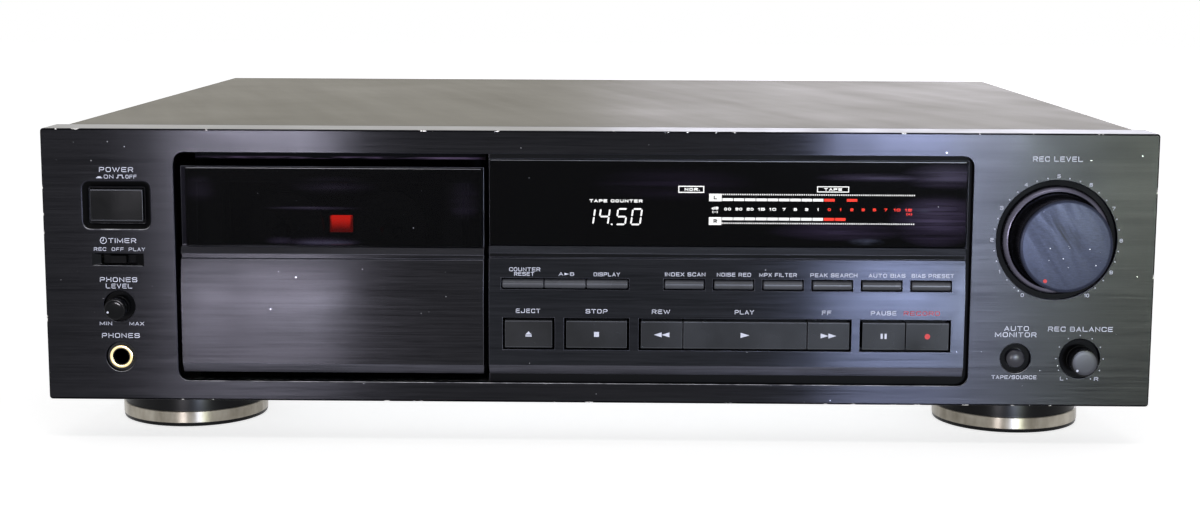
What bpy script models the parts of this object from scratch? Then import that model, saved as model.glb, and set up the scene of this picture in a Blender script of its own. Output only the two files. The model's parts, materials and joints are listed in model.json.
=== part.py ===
"""Front-loading cassette deck of full component width, as separate pieces.

Metres, +Z up. The front faces -Y and +X is to the right of someone who looks at it.
The origin is on the floor, in the middle of the deck's width and of its whole depth.
Heights named UP are above the front panel's bottom edge, depths are behind its front face.
"""

import math

import bmesh
import bpy
from mathutils import Matrix, Vector

# Overall sizes
PANEL_WIDTH = 0.440
PANEL_HEIGHT = 0.109
PANEL_DEPTH = 0.0206
BODY_DEPTH = 0.356
FOOT_LIFT = 0.018
RECORD_KNOB_PROUD = 0.018
JACK_PROUD = 0.0085

# Clearances shared by all pieces
GAP = 0.0003
OVERRUN = 0.002

# Front panel shell
PANEL_WALL = 0.003
PANEL_RETURN = 0.0025
PANEL_CORNER = 0.0012
OPENING_FROM_LEFT = 0.0524
OPENING_FROM_RIGHT = 0.0724
OPENING_FROM_BOTTOM = 0.008
OPENING_FROM_TOP = 0.0093
OPENING_CORNER = 0.004
PANEL_FRONT_BEVEL = 0.0006

# Sheet metal body
SHEET = 0.001
COVER_INSET = 0.0043
COVER_FOLD = 0.002
COVER_SKIRT_UP = 0.0045
PAN_SIDE_FLANGE = 0.014
PAN_FRONT_FLANGE = 0.0045
PAN_REAR_FLANGE = 0.010
PAN_VENT_LENGTH = 0.040
PAN_VENT_WIDTH = 0.004
PAN_VENT_PITCH = 0.010
PAN_VENT_COUNT = 6
REAR_PANEL_BACK_SET = 0.0008

# Feet
FOOT_FROM_SIDE = 0.0404
FOOT_FRONT_DEPTH = 0.059
FOOT_REAR_FROM_BACK = 0.045
FOOT_RADIUS = 0.0300
FOOT_RING_RADIUS = 0.0310
FOOT_LIP_RADIUS = 0.0298
FOOT_SOLE_RADIUS = 0.0290
FOOT_LIP_TOP = 0.0013
FOOT_RING_TOP = 0.0065
FOOT_TOP_INSET = 0.0015

# Side profile shared by the cassette door and the control module
MODULE_DEPTH = 0.006
CHAMFER_RISE = 0.0040
CHAMFER_RUN = 0.0026
FACE_RISE = 0.0294
BAND_LEAN = 0.0020
GROOVE_DEPTH = 0.0036
GROOVE_RISE = 0.0019
STRIP_FRONT = 0.0016
STRIP_BACK = 0.0030
STRIP_RISE = 0.0029
WINDOW_SEAM = 0.0004
WINDOW_FRONT = 0.0024
WINDOW_THICKNESS = 0.0020

# Cassette door
DOOR_SIDE_GAP = 0.0016
DOOR_BESIDE_CASSETTE = 0.0102
DOOR_BOTTOM_GAP = 0.0031
DOOR_TOP_GAP = 0.0057
DOOR_BAND_RISE = 0.0127
DOOR_WINDOW_LEFT_MARGIN = 0.0023
DOOR_WINDOW_RIGHT_MARGIN = 0.0006
DOOR_FRAME_BORDER = 0.0065
DOOR_PIVOT_DEPTH = 0.009
DOOR_PIVOT_UP = 0.014
DOOR_PIN_RADIUS = 0.0015
DOOR_LUG_RADIUS = 0.0026

# Control module
MODULE_GAP = 0.0020
CONTROL_SIDE_GAP = 0.0018
CONTROL_BOTTOM_GAP = 0.0033
CONTROL_TOP_GAP = 0.0024
CONTROL_BAND_RISE = 0.0135
CONTROL_WINDOW_MARGIN = 0.0003
CONTROL_FLANGE_SIDE = 0.0045
CONTROL_FLANGE_RISE = 0.0035
CONTROL_POST_RADIUS = 0.0022
CONTROL_POST_UP = 0.0405
CONTROL_POST_SHARES = (0.125, 0.510, 0.915)

# Transport keys, which share out the control module's width
KEY_WIDTH_SHARES = {
    "eject_button": 0.1185,
    "stop_button": 0.1520,
    "rewind_button": 0.1040,
    "play_button": 0.3084,
    "fast_forward_button": 0.1040,
    "pause_button": 0.10655,
    "record_button": 0.10655,
}
KEY_GROUPS = (
    ("eject_button",),
    ("stop_button",),
    ("rewind_button", "play_button", "fast_forward_button"),
    ("pause_button", "record_button"),
)
KEY_ROW_FIRST = 0.0056
KEY_ROW_LAST = 0.0054
KEY_ROW_BOTTOM_UP = 0.0216
KEY_ROW_HEIGHT = 0.0129
KEY_MARGIN = 0.0009
KEY_SPLIT = 0.0004
KEY_PROUD = 0.0010
KEY_EDGE = 0.0003
KEY_FLANGE_RISE = 0.0012
KEY_FLANGE_THICKNESS = 0.0015
KEY_TRAVEL = 0.0015
KEY_SPACE = 0.0038
LAST_KEY_SPACE = 0.0034

# Small keys under the display
SMALL_KEY_UP = 0.0481
SMALL_KEY_HEIGHT = 0.0036
SMALL_KEY_PROUD = 0.0010
SMALL_KEY_MARGIN = 0.0004
SMALL_KEY_SPLIT = 0.0002
SMALL_KEY_TRAVEL = 0.0010
SMALL_KEY_FLANGE_RISE = 0.0008
COUNTER_FIRST_SHARE = 0.0286
COUNTER_KEY_SHARE = 0.0873
FUNCTION_FIRST_SHARE = 0.3698
FUNCTION_KEY_SHARE = 0.0825
FUNCTION_PITCH_SHARE = 0.1034

# Left column: power, timer, headphone level, headphone socket
LEFT_COLUMN_FROM_EDGE = 0.0294
POWER_UP = 0.0785
POWER_RECESS_WIDTH = 0.0272
POWER_RECESS_HEIGHT = 0.0194
POWER_RECESS_CORNER = 0.0030
POWER_BEZEL_DEPTH = 0.0018
POWER_BEZEL_INSET = 0.0024
POWER_KEY_WIDTH = 0.0209
POWER_KEY_HEIGHT = 0.0127
POWER_FACE_DEPTH = 0.0002
POWER_KEY_END_DEPTH = 0.016
POWER_FLANGE_RISE = 0.0012
POWER_FLANGE_DEPTH = 0.0066
POWER_FLANGE_THICKNESS = 0.0015
POWER_OUT_TRAVEL = 0.003
TIMER_UP = 0.0568
TIMER_RECESS_WIDTH = 0.0200
TIMER_RECESS_HEIGHT = 0.0049
TIMER_RECESS_DEPTH = 0.0012
TIMER_SLOT_WIDTH = 0.0140
TIMER_SLOT_HEIGHT = 0.0037
TIMER_KNOB_WIDTH = 0.0065
TIMER_KNOB_DEPTH = 0.0004
TIMER_FLANGE_WIDTH = 0.0130
TIMER_FLANGE_HEIGHT = 0.0062
TIMER_FLANGE_THICKNESS = 0.0012
PHONES_KNOB_UP = 0.0380
PHONES_POCKET_RADIUS = 0.00625
PHONES_KNOB_RADIUS = 0.0043
PHONES_KNOB_PROUD = 0.008
PHONES_SOCKET_UP = 0.0175
PHONES_SOCKET_HOLE_RADIUS = 0.00595
PHONES_SOCKET_RING_RADIUS = 0.0048
PHONES_SOCKET_BORE_RADIUS = 0.0032
PHONES_SOCKET_RING_DEPTH = 0.0004
PHONES_SOCKET_COLLAR_DEPTH = 0.0014
PHONES_SOCKET_BODY = 0.014
PHONES_SOCKET_END_DEPTH = 0.034
PHONES_SOCKET_BORE_DEPTH = 0.030

# Right column: record level, monitor, balance
RECORD_KNOB_FROM_EDGE = 0.0391
RECORD_KNOB_UP = 0.0669
RECORD_POCKET_RADIUS = 0.02375
RECORD_SKIRT_RADIUS = 0.0216
RECORD_WAIST_RADIUS = 0.0176
RECORD_FACE_RADIUS = 0.0186
RECORD_SKIRT_PROUD = 0.0012
RECORD_WAIST_PROUD = 0.0060
RECORD_FACE_EDGE = 0.0004
MONITOR_FROM_EDGE = 0.0536
MONITOR_UP = 0.0193
MONITOR_POCKET_RADIUS = 0.0060
MONITOR_KEY_RADIUS = 0.00365
MONITOR_DOME_PROUD = 0.0014
MONITOR_KEY_PROUD = 0.0004
MONITOR_FLANGE_RADIUS = 0.0052
MONITOR_TRAVEL = 0.0010
BALANCE_FROM_EDGE = 0.0282
BALANCE_UP = 0.0194
BALANCE_POCKET_RADIUS = 0.0080
BALANCE_KNOB_RADIUS = 0.0055
BALANCE_KNOB_PROUD = 0.0095
POCKET_DEPTH = 0.002
KNOB_SEAT_DEPTH = 0.0013
KNOB_TOP_EDGE = 0.0005
SHAFT_CLEARANCE = 0.0004

# Potentiometers: shaft radius, body side and body depth
BIG_SHAFT_RADIUS = 0.0030
BIG_POT_SIDE = 0.024
BIG_POT_DEPTH = 0.012
SMALL_SHAFT_RADIUS = 0.0020
PHONES_POT_SIDE = 0.011
PHONES_POT_DEPTH = 0.010
BALANCE_POT_SIDE = 0.014
BALANCE_POT_DEPTH = 0.011
POT_BUSH_WALL = 0.0012
SWITCH_BOARD_MARGIN = 0.004
SWITCH_BOARD_RISE = 0.007

# Cassette and the places that follow from it
CASSETTE_WIDTH = 0.1004
CASSETTE_THICKNESS = 0.0120
CASSETTE_HEIGHT = 0.0638
CASSETTE_CLEARANCE = 0.0003
CASSETTE_BOTTOM_UP = 0.0325
HUB_SPACING_SHARE = 0.42331
HUB_UP_IN_CASSETTE = 0.0345
CAPSTAN_SPACING_SHARE = 0.54781
CAPSTAN_UP_IN_CASSETTE = 0.0095

# Cassette holder
HOLDER_SHEET = 0.001
HOLDER_LIP = 0.0075
HOLDER_LEDGE = 0.0145
HOLDER_LEDGE_THICKNESS = 0.001
HOLDER_TOP_SHORT = 0.0045
HOLDER_PLATE_BOTTOM_UP = 0.0165
HOLDER_PLATE_TOP_SHORT = 0.0030

# Mechanism plate
MECH_SHEET = 0.0015
TABLE_GAP = 0.0022
FLYWHEEL_GAP = 0.0010
FLYWHEEL_BACK_GAP = 0.0040
MECH_BESIDE_CASSETTE = 0.0093
MECH_TOP_UP = 0.100
MECH_FLOOR_FLANGE = 0.018
MECH_BACK_INSET = 0.0020
MECH_BACK_BOTTOM_UP = 0.008
MECH_POST_RADIUS = 0.0022
MECH_POST_INSET = 0.0035
EAR_GAP = 0.002
EAR_THICKNESS = 0.0015
BOSS_RADIUS = 0.0042
BOSS_LENGTH = 0.0075

# Reel spindles and capstans
SPINDLE_VANE_RADIUS = 0.0048
SPINDLE_CORE_RADIUS = 0.0034
SPINDLE_TIP_RADIUS = 0.0018
SPINDLE_TABLE_GAP = 0.0014
SPINDLE_TIP_REACH = 0.0104
SPINDLE_TIP_LENGTH = 0.0030
SPINDLE_TAIL = 0.0055
SPINDLE_TABLE_THICKNESS = 0.0035
SPINDLE_TABLE_RADIUS = 0.0148
SPINDLE_SHAFT_RADIUS = 0.0015
SPINDLE_VANE_COUNT = 6
CAPSTAN_RADIUS = 0.0012
FLYWHEEL_THICKNESS = 0.008
FLYWHEEL_SPACE = 0.0035
FLYWHEEL_STUB_RADIUS = 0.0015

# Belt drive
BELT_WIDTH = 0.004
BELT_THICKNESS = 0.0008
PULLEY_UP = 0.084
PULLEY_RADIUS = 0.006
PULLEY_FLANGE_RADIUS = 0.0070
PULLEY_FLANGE_THICKNESS = 0.0007
PULLEY_SHAFT_RADIUS = 0.0010
PULLEY_SHAFT_IN_MOTOR = 0.0102
MOTOR_RADIUS = 0.0165
MOTOR_LENGTH = 0.028
MOTOR_EDGE = 0.0015
MOTOR_BORE_RADIUS = 0.0014

# Head bridge, tape head and pinch rollers
BRIDGE_BEYOND_CAPSTAN = 0.0065
BRIDGE_BOTTOM_UP = 0.012
BRIDGE_TOP_UP = 0.030
BRIDGE_SHEET = 0.0015
BRIDGE_GAP = 0.0005
SHELF_INSIDE_CAPSTAN = 0.0080
SHELF_UP = 0.0218
SHELF_BEHIND_LIP = 0.0027
HEAD_BEHIND_SHELF_EDGE = 0.0007
HEAD_WIDTH = 0.0125
HEAD_DEPTH = 0.0115
HEAD_TOP_UP = 0.0315
HEAD_SIDE_UP = 0.0270
GUIDE_WIDTH = 0.0030
GUIDE_TOP_UP = 0.0300
ARM_PIVOT_OUT = 0.016
ARM_PIVOT_UP = 0.0306
ARM_BEHIND_HOLDER = 0.0017
ROLLER_BEHIND_LIP = 0.0032
ARM_THICKNESS = 0.002
ARM_HUB_RADIUS = 0.0032
ARM_PIVOT_PIN_RADIUS = 0.0012
ROLLER_RADIUS = 0.0055
ROLLER_BORE_RADIUS = 0.0013
ROLLER_PIN_RADIUS = 0.0010
ROLLER_LENGTH = 0.007
ROLLER_REST_UP = 0.0262

# Cassette lamp
LAMP_WIDTH = 0.0090
LAMP_HEIGHT = 0.0066
LAMP_UP = 0.0680
LAMP_LENGTH = 0.006
LAMP_PROUD = 0.001

# Display and front circuit board
TUBE_FRONT_DEPTH = 0.0075
TUBE_DEPTH = 0.0060
TUBE_LEFT = 0.030
TUBE_RIGHT_MARGIN = 0.010
TUBE_MARGIN = 0.0035
TUBE_CORNER = 0.0015
DISPLAY_APERTURE_BORDER = 0.004
BOARD_THICKNESS = 0.0016
FRONT_BOARD_BOTTOM_UP = 0.018
FRONT_BOARD_TOP_SHORT = 0.002
SWITCH_SIDE = 0.006
SMALL_SWITCH_HEIGHT = 0.0036

# Rear sockets and mains inlet
PHONO_RADIUS = 0.0042
PHONO_BORE_RADIUS = 0.0022
PHONO_PITCH = 0.014
PHONO_COLUMNS = 2
PHONO_ROWS = 2
PHONO_FROM_EDGE = 0.045
PHONO_UP = 0.042
PHONO_BLOCK_MARGIN = 0.007
PHONO_BLOCK_DEPTH = 0.010
INLET_FROM_EDGE = 0.050
INLET_UP = 0.045
INLET_FLANGE_WIDTH = 0.030
INLET_FLANGE_HEIGHT = 0.022
INLET_FLANGE_THICKNESS = 0.002
INLET_BODY_WIDTH = 0.022
INLET_BODY_HEIGHT = 0.016
INLET_BODY_DEPTH = 0.018
INLET_LOBE_RADIUS = 0.0045
INLET_PIN_SPACING = 0.0086
INLET_PIN_RADIUS = 0.0012
INLET_SOCKET_DEPTH = 0.014

# Main circuit board, its components and the transformer
MAIN_BOARD_SPACE = 0.038
MAIN_BOARD_RIGHT_MARGIN = 0.012
MAIN_BOARD_FRONT_DEPTH = 0.100
MAIN_BOARD_BACK_MARGIN = 0.014
PILLAR_HEIGHT = 0.008
PILLAR_RADIUS = 0.003
PILLAR_INSET = 0.012
COMPONENT_SINK = 0.0004
CAPACITOR_RADIUS = 0.008
CAPACITOR_HEIGHT = 0.025
CHIP_WIDTH = 0.018
CHIP_LENGTH = 0.036
CHIP_HEIGHT = 0.004
HEAT_SINK_WIDTH = 0.050
HEAT_SINK_THICKNESS = 0.004
HEAT_SINK_HEIGHT = 0.035
TRANSFORMER_FROM_SIDE = 0.0744
TRANSFORMER_FROM_BACK = 0.085
CORE_WIDTH = 0.066
CORE_DEPTH = 0.030
CORE_HEIGHT = 0.055
COIL_WIDTH = 0.044
COIL_DEPTH = 0.052
COIL_HEIGHT = 0.034
COIL_CORNER = 0.006
STRAP_WIDTH = 0.084
STRAP_THICKNESS = 0.0015

# Facets of round shapes
FINE_STEPS = 48
FOOT_STEPS = 32
ROUND_STEPS = 24
CAN_STEPS = 16
SMALL_STEPS = 12
CORNER_STEPS = 4

# Places that follow from the sizes above
FRONT = RECORD_KNOB_PROUD - (RECORD_KNOB_PROUD + BODY_DEPTH + JACK_PROUD) / 2
BACK = FRONT + BODY_DEPTH
PANEL_LEFT = -PANEL_WIDTH / 2
PANEL_RIGHT = PANEL_WIDTH / 2
PANEL_TOP_UP = PANEL_HEIGHT
OPENING_LEFT = PANEL_LEFT + OPENING_FROM_LEFT
OPENING_RIGHT = PANEL_RIGHT - OPENING_FROM_RIGHT
OPENING_BOTTOM_UP = OPENING_FROM_BOTTOM
OPENING_TOP_UP = PANEL_HEIGHT - OPENING_FROM_TOP
DOOR_LEFT = OPENING_LEFT + DOOR_SIDE_GAP
DOOR_WIDTH = CASSETTE_WIDTH + 2 * DOOR_BESIDE_CASSETTE
DOOR_RIGHT = DOOR_LEFT + DOOR_WIDTH
DOOR_MIDDLE = (DOOR_LEFT + DOOR_RIGHT) / 2
DOOR_BOTTOM_UP = OPENING_BOTTOM_UP + DOOR_BOTTOM_GAP
DOOR_TOP_UP = OPENING_TOP_UP - DOOR_TOP_GAP
CONTROL_LEFT = DOOR_RIGHT + MODULE_GAP
CONTROL_RIGHT = OPENING_RIGHT - CONTROL_SIDE_GAP
CONTROL_BOTTOM_UP = OPENING_BOTTOM_UP + CONTROL_BOTTOM_GAP
CONTROL_TOP_UP = OPENING_TOP_UP - CONTROL_TOP_GAP
LEFT_COLUMN = PANEL_LEFT + LEFT_COLUMN_FROM_EDGE
RECORD_KNOB_X = PANEL_RIGHT - RECORD_KNOB_FROM_EDGE
MONITOR_X = PANEL_RIGHT - MONITOR_FROM_EDGE
BALANCE_X = PANEL_RIGHT - BALANCE_FROM_EDGE
COVER_HALF_WIDTH = PANEL_WIDTH / 2 - COVER_INSET
PAN_HALF_WIDTH = COVER_HALF_WIDTH - SHEET - GAP
PAN_BOTTOM_UP = PANEL_RETURN + GAP
FOOT_X = PAN_HALF_WIDTH - FOOT_FROM_SIDE
TRANSFORMER_X = -(PAN_HALF_WIDTH - TRANSFORMER_FROM_SIDE)
PAN_TOP_UP = PAN_BOTTOM_UP + SHEET
PAN_BACK_DEPTH = BODY_DEPTH - REAR_PANEL_BACK_SET - SHEET - GAP
BEHIND_WALL = PANEL_WALL + GAP
BEHIND_MODULE = MODULE_DEPTH + GAP
HUB_UP = CASSETTE_BOTTOM_UP + HUB_UP_IN_CASSETTE
CAPSTAN_UP = CASSETTE_BOTTOM_UP + CAPSTAN_UP_IN_CASSETTE
HOLDER_HALF_WIDTH = CASSETTE_WIDTH / 2 + CASSETTE_CLEARANCE + HOLDER_SHEET
MECH_HALF_WIDTH = CASSETTE_WIDTH / 2 + MECH_BESIDE_CASSETTE
MECH_BACK_HALF_WIDTH = MECH_HALF_WIDTH - MECH_BACK_INSET
HUB_SPACING = CASSETTE_WIDTH * HUB_SPACING_SHARE
CAPSTAN_SPACING = CASSETTE_WIDTH * CAPSTAN_SPACING_SHARE
FLYWHEEL_RADIUS = CAPSTAN_SPACING / 2 - FLYWHEEL_SPACE
BRIDGE_HALF_WIDTH = CAPSTAN_SPACING / 2 + BRIDGE_BEYOND_CAPSTAN
SHELF_HALF_WIDTH = CAPSTAN_SPACING / 2 - SHELF_INSIDE_CAPSTAN
HOLDER_LIP_BACK = BEHIND_MODULE + HOLDER_SHEET
HOLDER_BACK_DEPTH = HOLDER_LIP_BACK + CASSETTE_THICKNESS + 2 * CASSETTE_CLEARANCE
EAR_INNER = HOLDER_HALF_WIDTH + EAR_GAP
ARM_PIVOT_X = CAPSTAN_SPACING / 2 + ARM_PIVOT_OUT
SPINDLE_TABLE_DEPTH = HOLDER_BACK_DEPTH + HOLDER_SHEET + SPINDLE_TABLE_GAP
SPINDLE_TIP_DEPTH = HOLDER_BACK_DEPTH - SPINDLE_TIP_REACH
SPINDLE_VANE_DEPTH = SPINDLE_TIP_DEPTH + SPINDLE_TIP_LENGTH
MECH_FRONT_DEPTH = SPINDLE_TABLE_DEPTH + SPINDLE_TABLE_THICKNESS + TABLE_GAP
MECH_BACK_OF_FRONT = MECH_FRONT_DEPTH + MECH_SHEET
SPINDLE_END_DEPTH = MECH_BACK_OF_FRONT + SPINDLE_TAIL
FLYWHEEL_FRONT_DEPTH = MECH_BACK_OF_FRONT + BOSS_LENGTH + FLYWHEEL_GAP
MECH_BACK_DEPTH = FLYWHEEL_FRONT_DEPTH + FLYWHEEL_THICKNESS + FLYWHEEL_BACK_GAP
BELT_FRONT_DEPTH = FLYWHEEL_FRONT_DEPTH + (FLYWHEEL_THICKNESS - BELT_WIDTH) / 2
MOTOR_FRONT_DEPTH = MECH_BACK_DEPTH + MECH_SHEET + GAP
PULLEY_SHAFT_END_DEPTH = MOTOR_FRONT_DEPTH + PULLEY_SHAFT_IN_MOTOR
SHELF_FRONT_DEPTH = HOLDER_LIP_BACK + SHELF_BEHIND_LIP
HEAD_FRONT_DEPTH = SHELF_FRONT_DEPTH + HEAD_BEHIND_SHELF_EDGE
ARM_FRONT_DEPTH = HOLDER_BACK_DEPTH + HOLDER_SHEET + ARM_BEHIND_HOLDER
ROLLER_FRONT_DEPTH = HOLDER_LIP_BACK + ROLLER_BEHIND_LIP
LAMP_FRONT_DEPTH = MECH_FRONT_DEPTH - LAMP_PROUD
CONTROL_WIDTH = CONTROL_RIGHT - CONTROL_LEFT
SWITCH_FACE_DEPTH = BEHIND_MODULE + KEY_FLANGE_THICKNESS + KEY_TRAVEL + GAP
FRONT_BOARD_DEPTH = TUBE_FRONT_DEPTH + TUBE_DEPTH + GAP


def up(height):
    """World z of a height above the front panel's bottom edge."""
    return FOOT_LIFT + height


def into(depth):
    """World y of a depth behind the front panel's front face."""
    return FRONT + depth


# Materials
def material(name, colour, roughness, metallic=0.0):
    made = bpy.data.materials.new(name)
    made.use_nodes = True
    shader = made.node_tree.nodes["Principled BSDF"]
    shader.inputs["Base Color"].default_value = (*colour, 1.0)
    shader.inputs["Roughness"].default_value = roughness
    shader.inputs["Metallic"].default_value = metallic
    made.diffuse_color = (*colour, 1.0)
    return made


def all_materials():
    return {
        "black_aluminium": material("black_aluminium", (0.035, 0.036, 0.042), 0.35, 0.9),
        "black_plastic": material("black_plastic", (0.020, 0.020, 0.022), 0.45),
        "key_grey": material("key_grey", (0.055, 0.055, 0.065), 0.40, 0.5),
        "smoked_window": material("smoked_window", (0.010, 0.009, 0.012), 0.08),
        "cover_paint": material("cover_paint", (0.090, 0.090, 0.085), 0.38, 0.6),
        "zinc_steel": material("zinc_steel", (0.55, 0.56, 0.57), 0.35, 1.0),
        "bright_steel": material("bright_steel", (0.75, 0.74, 0.72), 0.20, 1.0),
        "brass": material("brass", (0.80, 0.60, 0.30), 0.25, 1.0),
        "rubber": material("rubber", (0.025, 0.025, 0.025), 0.80),
        "red_lamp": material("red_lamp", (0.80, 0.05, 0.03), 0.40),
        "board_green": material("board_green", (0.05, 0.18, 0.08), 0.50),
        "tube_glass": material("tube_glass", (0.05, 0.07, 0.08), 0.10),
    }


# Outlines in a plane, as lists of points
def rectangle(left, bottom, right, top):
    return [(left, bottom), (right, bottom), (right, top), (left, top)]


def arc(centre, radius, start, end, steps):
    return [
        (
            centre[0] + radius * math.cos(start + (end - start) * step / steps),
            centre[1] + radius * math.sin(start + (end - start) * step / steps),
        )
        for step in range(steps + 1)
    ]


def circle(centre, radius, steps=ROUND_STEPS):
    return arc(centre, radius, 0, math.tau, steps)[:-1]


def rounded_rectangle(left, bottom, right, top, radius, steps=CORNER_STEPS):
    quarter = math.tau / 4
    corners = (
        ((right - radius, top - radius), 0),
        ((left + radius, top - radius), 1),
        ((left + radius, bottom + radius), 2),
        ((right - radius, bottom + radius), 3),
    )
    points = []
    for centre, turn in corners:
        points += arc(centre, radius, turn * quarter, (turn + 1) * quarter, steps)
    return points


def belt_outline(wheels, offset, steps=ROUND_STEPS):
    """Taut loop round wheels (x, z, radius) listed anticlockwise, held off by an offset."""
    count = len(wheels)
    leaving = []
    for index in range(count):
        x_a, z_a, radius_a = wheels[index]
        x_b, z_b, radius_b = wheels[(index + 1) % count]
        length = math.hypot(x_b - x_a, z_b - z_a)
        heading = math.atan2(z_b - z_a, x_b - x_a)
        leaving.append(heading - math.acos((radius_a - radius_b) / length))
    points = []
    for index in range(count):
        x, z, radius = wheels[index]
        start = leaving[index - 1]
        turn = (leaving[index] - start) % math.tau
        arc_steps = max(2, round(steps * turn / math.tau))
        points += arc((x, z), radius + offset, start, start + turn, arc_steps)
    return points


# Solids
PLANE_TO_SPACE = {
    "x": lambda u, v, along: Vector((along, u, v)),
    "y": lambda u, v, along: Vector((u, along, v)),
    "z": lambda u, v, along: Vector((u, v, along)),
}


def add_object(name, mesh_data, look, origin):
    mesh = bpy.data.meshes.new(name)
    bmesh.ops.recalc_face_normals(mesh_data, faces=mesh_data.faces)
    mesh_data.to_mesh(mesh)
    mesh_data.free()
    mesh.transform(Matrix.Translation(-Vector(origin)))
    mesh.shade_smooth()
    mesh.set_sharp_from_angle(angle=math.radians(35))
    made = bpy.data.objects.new(name, mesh)
    made.location = origin
    if look:
        mesh.materials.append(look)
    bpy.context.scene.collection.objects.link(made)
    return made


def prism(name, loops, axis, start, end, look=None, origin=(0, 0, 0)):
    """Solid between two parallel planes: the first loop is its outline, the others are holes."""
    solid = bmesh.new()
    place = PLANE_TO_SPACE[axis]
    edges = []
    for loop in loops:
        verts = [solid.verts.new(place(u, v, start)) for u, v in loop]
        edges += [solid.edges.new((verts[i - 1], verts[i])) for i in range(len(verts))]
    bmesh.ops.triangle_fill(solid, use_beauty=True, use_dissolve=False, edges=edges)
    shift = place(0, 0, end) - place(0, 0, start)
    grown = bmesh.ops.extrude_face_region(solid, geom=solid.faces[:], use_keep_orig=True)
    moved = [item for item in grown["geom"] if isinstance(item, bmesh.types.BMVert)]
    bmesh.ops.translate(solid, vec=shift, verts=moved)
    return add_object(name, solid, look, origin)


def block(name, left, right, front, back, bottom, top, look=None, origin=(0, 0, 0)):
    """Box between depths front and back, and heights bottom and top."""
    outline = [rectangle(left, up(bottom), right, up(top))]
    return prism(name, outline, "y", into(front), into(back), look, origin)


def lathe(name, profile, centre, to_space, look, origin, steps):
    """Round solid from points (radius, along) of its section, flat at both ends."""
    solid = bmesh.new()
    rings = []
    for radius, along in profile:
        points = circle(centre, radius, steps)
        rings.append([solid.verts.new(to_space(u, v, along)) for u, v in points])
    solid.faces.new(rings[0])
    solid.faces.new(rings[-1])
    for one, other in zip(rings, rings[1:]):
        for i in range(steps):
            solid.faces.new((one[i - 1], one[i], other[i], other[i - 1]))
    return add_object(name, solid, look, origin)


def turned(name, profile, x, height, look=None, steps=ROUND_STEPS):
    """Round solid about a front-to-back axis, from points (radius, depth) of its section."""
    section = [(radius, into(depth)) for radius, depth in profile]
    origin = (x, into(0), up(height))
    return lathe(name, section, (x, up(height)), PLANE_TO_SPACE["y"], look, origin, steps)


def rod(name, x, height, radius, front, back, look=None, steps=SMALL_STEPS):
    return turned(name, [(radius, front), (radius, back)], x, height, look, steps=steps)


def boolean(target, operation, tools):
    for tool in tools:
        tool.hide_render = True
        tool.display_type = "WIRE"
        step = target.modifiers.new(tool.name, "BOOLEAN")
        step.operation = operation
        step.solver = "EXACT"
        step.object = tool
    return target


def cut(target, *tools):
    return boolean(target, "DIFFERENCE", tools)


def fuse(target, *tools):
    return boolean(target, "UNION", tools)


# Front panel
def tapered_cutter(name, outer, inner, front, back):
    """Cutter that narrows from the outer outline at the front to the inner one at the back."""
    solid = bmesh.new()
    rings = []
    for outline, depth in ((outer, front), (inner, back)):
        verts = [solid.verts.new((x, into(depth), z)) for x, z in outline]
        rings.append(verts)
        solid.faces.new(verts)
    for i in range(len(outer)):
        solid.faces.new((rings[0][i - 1], rings[0][i], rings[1][i], rings[1][i - 1]))
    return add_object(name, solid, None, (0, 0, 0))


def centred_box(x, height, width, rise, corner=0.0):
    left, right = x - width / 2, x + width / 2
    bottom, top = up(height) - rise / 2, up(height) + rise / 2
    if corner:
        return rounded_rectangle(left, bottom, right, top, corner)
    return rectangle(left, bottom, right, top)


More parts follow.
